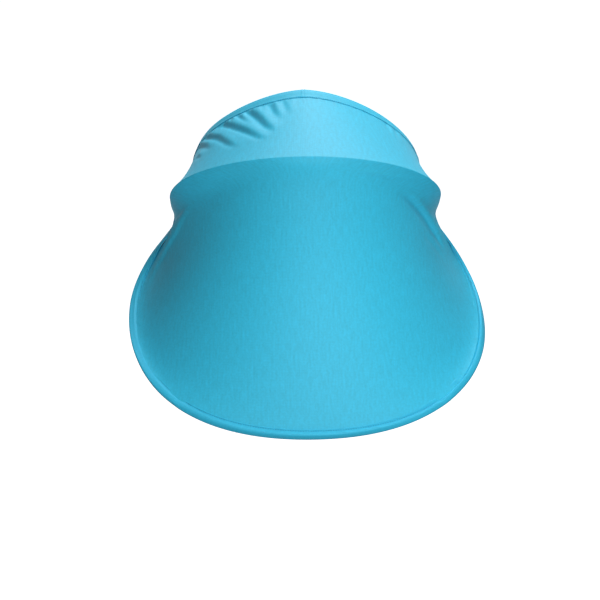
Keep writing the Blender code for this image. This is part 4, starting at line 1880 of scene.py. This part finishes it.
@dataclass(frozen=True)
class FasteningStrap:
    """One strap, sewn inside the sleeve's bound edge, with a hook patch at its tip and a loop patch above."""

    side: Side
    width: float = 25 * MM
    thickness: float = 1.5 * MM
    length: float = 90 * MM
    corner: float = 3 * MM
    cord: float = 2.1 * MM
    cord_depth: float = 0.22 * MM
    columns: int = 61
    patch_length: float = 32 * MM
    patch_width: float = 20 * MM
    patch_base: float = 0.5 * MM
    patch_thickness: float = 1.2 * MM
    patch_seam: float = 1.3 * MM
    seam_stand: float = 0.1 * MM
    tip_margin: float = 4 * MM
    loop_drop: float = 8 * MM
    gap: float = 0.3 * MM
    hook_pitch: float = 1.6 * MM
    hook_end_margin: float = 2.5 * MM
    hook_side_margin: float = 2 * MM
    hook_lean: float = math.radians(14)
    hook_root: float = 0.32 * MM
    hook_tip: float = 0.2 * MM
    hook_sink: float = 0.42
    nap_start: float = 0.9
    nap_mm: Pair = (-0.22, 0.1)
    sewn_end: float = 11.5 * MM
    sewn_lean_mm: Table = ((0.0, 0.0), (5.0, 0.6), (8.0, 0.6), (12.0, -0.6))
    cross_length: float = 7.5 * MM
    cross_width: float = 22 * MM
    cross_seam: float = 1.2 * MM
    bend: float = 4 * MM

    @cached_property
    def axes(self) -> Matrix:
        """The strap's own axes: x out of its patches' faces, y across it and z up it, from its hinge."""
        joint = next(j for j in frame["joints"] if j["name"] == f"{self.side.word}_strap_swing")
        across = -Vector(joint["axis"]).normalized()
        face = across.cross(Vector((0, 0, 1))).normalized()
        turn = Matrix((face, across, face.cross(across))).transposed().to_4x4()
        return Matrix.Translation(Vector(joint["pos_m"])) @ turn

    @property
    def webbing(self) -> Strip:
        """The webbing, from its sewn end to its tip."""
        half = self.thickness / 2
        whole = self.length + self.sewn_end - half
        return Strip(self.sewn_end, whole, self.width, -half, half, self.cord_depth)

    @property
    def hook_base(self) -> Strip:
        """The hook patch's base, near the tip."""
        back = self.thickness / 2 + self.gap
        top = self.thickness / 2 - self.length + self.tip_margin + self.patch_length
        return Strip(top, self.patch_length, self.patch_width, back, back + self.patch_base, rows=40)

    @property
    def loop_pile(self) -> Strip:
        """The loop patch, with its pile."""
        back, top = self.thickness / 2 + self.gap, self.thickness / 2 - self.loop_drop
        return Strip(top, self.patch_length, self.patch_width, back, back + self.patch_thickness, rows=120)

    def lean(self, heights: Points) -> Points:
        """Return how far the sewn end leans inward at some heights, to lie on the tape's inner face."""
        known, leans = np.array(self.sewn_lean_mm).T * MM
        return np.interp(heights, known, leans)

    def plate(self, name: str, strip: Strip) -> bpy.types.Object:
        """Make a strip.

        Args:
            name: The piece's name.
            strip: Its place and sizes.

        Returns:
            The piece.
        """
        down = (1 - np.cos(np.linspace(0, math.pi, strip.rows))) / 2 * strip.length
        inward = np.clip(self.corner - np.minimum(down, strip.length - down), 0, self.corner)
        tuck = self.corner - np.sqrt(self.corner**2 - inward**2)
        middle = (strip.back + strip.front) / 2 + self.lean(strip.top - down)
        points = np.stack([middle, np.zeros(strip.rows), strip.top - down], axis=1)
        faces, outs = np.tile((1.0, 0, 0), (strip.rows, 1)), np.tile((0, 1.0, 0), (strip.rows, 1))
        across = np.linspace(-1, 1, self.columns)
        edge = (1 - across**12) ** (1 / 4)
        cords = strip.cords * (np.cos(math.pi * across * strip.width / self.cord) - 1) / 2
        upper = np.stack([across, edge * ((strip.front - strip.back) / 2 + cords)], axis=1)
        closed = np.concatenate([upper, (upper * (1, -1))[::-1][1:]])
        profile = np.repeat(closed[None], strip.rows, axis=0)
        profile[..., 0] *= (strip.width / 2 - tuck)[:, None]
        line = Line(points, faces, outs)
        made = grid_piece(name, ribbon(line, profile), ribbon_marks(line, profile), wrap=True)
        made.data.transform(self.axes)
        return made

    def strap(self) -> bpy.types.Object:
        """Make the webbing.

        Returns:
            The webbing.
        """
        strap = self.plate(f"{self.side.word}_webbing", self.webbing)
        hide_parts(f"{self.side.word}_strap")
        return strap

    def hooks(self) -> bpy.types.Object:
        """Make the hook patch: a thin base with rows of small bent hooks.

        Returns:
            The base, with the hooks as its child.
        """
        strip = self.hook_base
        base = self.plate(f"{self.side.word}_hook_base", strip)
        rows = int((strip.length - 2 * self.hook_end_margin) / self.hook_pitch)
        columns = int((strip.width - 2 * self.hook_side_margin) / self.hook_pitch)
        rise, middle = self.patch_thickness - self.patch_base, strip.top - strip.length / 2
        shape = bmesh.new()
        for row in range(rows):
            lean = self.hook_lean if row % 2 else -self.hook_lean
            turn = Matrix.Rotation(math.radians(90) + lean, 4, "Y")
            z = middle + (row - (rows - 1) / 2) * self.hook_pitch
            for column in range(columns):
                y = (column - (columns - 1) / 2) * self.hook_pitch
                place = Matrix.Translation((strip.front + rise * self.hook_sink, y, z))
                bmesh.ops.create_cone(
                    shape,
                    cap_ends=True,
                    segments=5,
                    radius1=self.hook_root,
                    radius2=self.hook_tip,
                    depth=rise,
                    matrix=place @ turn,
                )
        shape.transform(self.axes)
        hooks = to_object(f"{self.side.word}_hooks", shape)
        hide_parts(f"{self.side.word}_hook_patch")
        hooks.parent = base
        return base

    def loops(self) -> bpy.types.Object:
        """Make the loop patch: a base with a napped pile.

        Returns:
            The patch.
        """
        strip = self.loop_pile
        patch = self.plate(f"{self.side.word}_loop_pile", strip)
        draw = random.Random(41 + self.side.value)
        outward = self.axes.to_3x3() @ Vector((1, 0, 0))
        nap = self.axes @ Vector((strip.back + self.patch_thickness * self.nap_start, 0, 0))
        for vert in patch.data.vertices:
            if (vert.co - nap).dot(outward) > 0:
                vert.co += outward * draw.uniform(*self.nap_mm) * MM
        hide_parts(f"{self.side.word}_loop_patch")
        return patch

    def stitches(self, thread: Thread) -> bpy.types.Object:
        """Sew the patches' edges, and the square and cross at the strap's top.

        Args:
            thread: The thread.

        Returns:
            The stitches.
        """
        half, hooks, loops = self.thickness / 2, self.hook_base, self.loop_pile
        routes = [
            (hooks.outline(hooks.front + self.seam_stand, self.patch_seam), 1),
            (loops.outline(loops.front, self.patch_seam), 1),
            (hooks.outline(-half, self.patch_seam), -1),
            (loops.outline(-half, self.patch_seam), -1),
        ]
        square = Strip(self.sewn_end, self.cross_length, self.cross_width, -half, half)
        for x, facing in ((half, 1), (-half, -1)):
            edge = square.outline(x, self.cross_seam)
            routes += [(edge, facing), (edge[[0, 2]], facing), (edge[[1, 3]], facing)]
        turn, origin = np.array(self.axes.to_3x3()), np.array(self.axes.translation)
        seams = []
        for route, facing in routes:
            fine = spaced(route, np.linspace(0, 1, CURVE_STEPS))
            fine[:, 0] += self.lean(fine[:, 2])
            ups = np.tile((float(facing), 0, 0), (len(fine), 1))
            seams.append((fine @ turn.T + origin, ups @ turn.T))
        return thread.sew(f"{self.side.word}_strap_stitches", seams)

    def hang(self, piece: bpy.types.Object) -> None:
        """Bake a piece's placement into its mesh.

        Args:
            piece: The webbing or its stitches.
        """
        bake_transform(piece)


# The studio


@dataclass(frozen=True)
class SoftLamp:
    """A square lamp behind a diffuser, which faces the shade."""

    name: str
    place: tuple[float, float, float]
    size: float
    power: float

    def hang(self, target: Vector, colour: str) -> None:
        """Hang the lamp.

        Args:
            target: What it faces.
            colour: The hex code of its light's colour.
        """
        light = bpy.data.lights.new(self.name, "AREA")
        light.size = self.size
        light.energy = self.power
        light.color = linear(colour)[:3]
        made = bpy.data.objects.new(self.name, light)
        made.location = self.place
        made.visible_camera = False
        made.rotation_euler = (target - Vector(self.place)).to_track_quat("-Z", "Y").to_euler()
        bpy.context.scene.collection.objects.link(made)


@dataclass(frozen=True)
class Studio:
    """The camera where the photograph was taken from, soft lamps and a pale floor."""

    target: tuple[float, float, float] = (-0.0092, -0.10, -0.0865)
    distance: float = 1.5
    turn: float = math.radians(-2.14)
    height: float = math.radians(38.0)
    roll: float = math.radians(-0.793)
    field_of_view: float = math.radians(28.0)
    lamps: tuple[SoftLamp, ...] = (
        SoftLamp("rear lamp", (0.1, 1.0, 0.9), 0.4, 10.8),
        SoftLamp("side lamp", (0.25, 0.25, 0.55), 0.25, 1.4),
        SoftLamp("front lamp", (0.08, -0.5, 0.33), 0.25, 1.45),
        SoftLamp("low front lamp", (0.12, -0.7, 0.2), 0.3, 1.05),
    )
    ambient: float = 0.114
    white: str = "#FFFFFF"
    floor_drop: float = 0.8
    floor_size: float = 24.0
    floor_colour: str = "#E6E8EA"
    floor_roughness: float = 0.9
    floor_glow: float = 0.93

    def camera(self) -> None:
        """Set the camera up."""
        c, s = math.cos(self.height), math.sin(self.height)
        back = Vector((math.sin(self.turn) * c, -math.cos(self.turn) * c, s))
        right = Vector((math.cos(self.turn), math.sin(self.turn), 0))
        up = back.cross(right)
        tilted = right * math.cos(self.roll) - up * math.sin(self.roll)
        upright = up * math.cos(self.roll) + right * math.sin(self.roll)
        camera = bpy.data.cameras.new("photo camera")
        camera.sensor_width = 36
        camera.angle = self.field_of_view
        made = bpy.data.objects.new("photo camera", camera)
        place = Matrix((tilted, upright, back)).transposed().to_4x4()
        made.matrix_world = Matrix.Translation(Vector(self.target) + back * self.distance) @ place
        bpy.context.scene.collection.objects.link(made)
        bpy.context.scene.camera = made

    def seen_white(self, tree: bpy.types.NodeTree) -> bpy.types.NodeSocket:
        """Tell the rays that look at the studio from those that light the shade.

        Args:
            tree: The nodes that need to know.

        Returns:
            1 for rays from the camera, a mirror or glass, and 0 for the rest.
        """
        path = add_node(tree, "ShaderNodeLightPath")
        seen = path.outputs["Is Camera Ray"]
        for name in ("Is Glossy Ray", "Is Transmission Ray"):
            seen = add_node(
                tree,
                "ShaderNodeMath",
                links={0: seen, 1: path.outputs[name]},
                operation="ADD",
                use_clamp=True,
            ).outputs[0]
        return seen

    def world(self) -> None:
        """Light the world evenly, and show it white."""
        world = bpy.data.worlds.new("white studio")
        bpy.context.scene.world = world
        world.use_nodes = True
        tree = world.node_tree
        strength = add_node(
            tree,
            "ShaderNodeMapRange",
            {"To Min": self.ambient, "To Max": 1.0},
            {"Value": self.seen_white(tree)},
        )
        background = tree.nodes["Background"]
        background.inputs["Color"].default_value = linear(self.white)
        tree.links.new(strength.outputs[0], background.inputs["Strength"])

    def floor(self) -> None:
        """Lay a pale floor well below, which looks white and keeps a soft shadow."""
        shape = bmesh.new()
        bmesh.ops.create_grid(shape, x_segments=1, y_segments=1, size=self.floor_size / 2)
        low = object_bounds()[0].z - self.floor_drop
        bmesh.ops.translate(shape, vec=(0, 0, low), verts=shape.verts)
        floor = to_object("floor", shape)
        material, shader = new_material("pale matt floor")
        tree = material.node_tree
        shader.inputs["Base Color"].default_value = linear(self.floor_colour)
        shader.inputs["Roughness"].default_value = self.floor_roughness
        shader.inputs["Emission Color"].default_value = linear(self.white)
        glow = add_node(
            tree, "ShaderNodeMath", {1: self.floor_glow}, {0: self.seen_white(tree)}, operation="MULTIPLY"
        )
        tree.links.new(glow.outputs[0], shader.inputs["Emission Strength"])
        floor.data.materials.append(material)
        floor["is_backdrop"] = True

    def build(self) -> None:
        """Set the whole studio up."""
        scene = bpy.context.scene
        scene.view_settings.view_transform = "Standard"
        self.camera()
        self.world()
        for lamp in self.lamps:
            lamp.hang(Vector(self.target), self.white)
        self.floor()


def dress(piece: bpy.types.Object, material: bpy.types.Material) -> bpy.types.Object:
    """Give a piece and its children their finish.

    Args:
        piece: The piece.
        material: Its material.

    Returns:
        The piece.
    """
    for each in (piece, *piece.children):
        each.data.materials.clear()
        each.data.materials.append(material)
    log.info("%s: %d faces, %s", piece.name, len(piece.data.polygons), material.name)
    return piece


def bend(piece: bpy.types.Object) -> None:
    """Bake a piece's placement into its mesh."""
    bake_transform(piece)


def main() -> None:
    """Build the shade, dress it and set the studio up."""
    form, thread = ShadeForm(), Thread()
    jersey, tape, thread_finish = JerseyKnit().material(), BiasTape().material(), SpunThread().material()
    cloth = ShadeCloth(form)
    sheet = dress(cloth.build(), jersey)
    bend(sheet)
    hem = RearHem(form)
    sewn_on = [dress(hem.casing(), jersey), dress(hem.stitches(thread), thread_finish)]
    elastic = WovenBand("white woven elastic", "#E2E0DA", cord_mm=0.9, pick_mm=1.2)
    sewn_on.append(dress(hem.elastic(), elastic.material()))
    for piece in sewn_on:
        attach(piece, Body.SLEEVE.value)
    rim = BrimRim(cloth)
    around = [dress(piece, tape) for piece in rim.build()]
    around.append(dress(rim.stitches(thread), thread_finish))
    for piece in around:
        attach(piece, Body.BRIM.value)
    edges = []
    for side in Side:
        edge = SideTape(cloth, side)
        edges += [dress(edge.build(), tape), dress(edge.stitches(thread), thread_finish)]
    for piece in edges:
        bend(piece)
    webbing = WovenBand("blue polyester webbing", "#2E9CCB", cord_mm=2.1, pick_mm=1.6).material()
    hook_finish, loop_finish = MouldedHooks().material(), NappedLoops().material()
    for side in Side:
        strap = FasteningStrap(side)
        strap.hang(dress(strap.strap(), webbing))
        strap.hang(dress(strap.stitches(thread), thread_finish))
        for patch in (dress(strap.hooks(), hook_finish), dress(strap.loops(), loop_finish)):
            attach(patch, side.strap_body)
    wire = DrawnSteel("coated spring steel", "#B9BCBE", 0.35).material()
    crimp = DrawnSteel("crimped steel", "#CFCFCB", 0.3).material()
    dress(frame["nodes"]["hoop_wire"], wire)
    dress(frame["nodes"]["hoop_ferrule"], crimp)
    Studio().build()


if __name__ == "__main__":
    main()
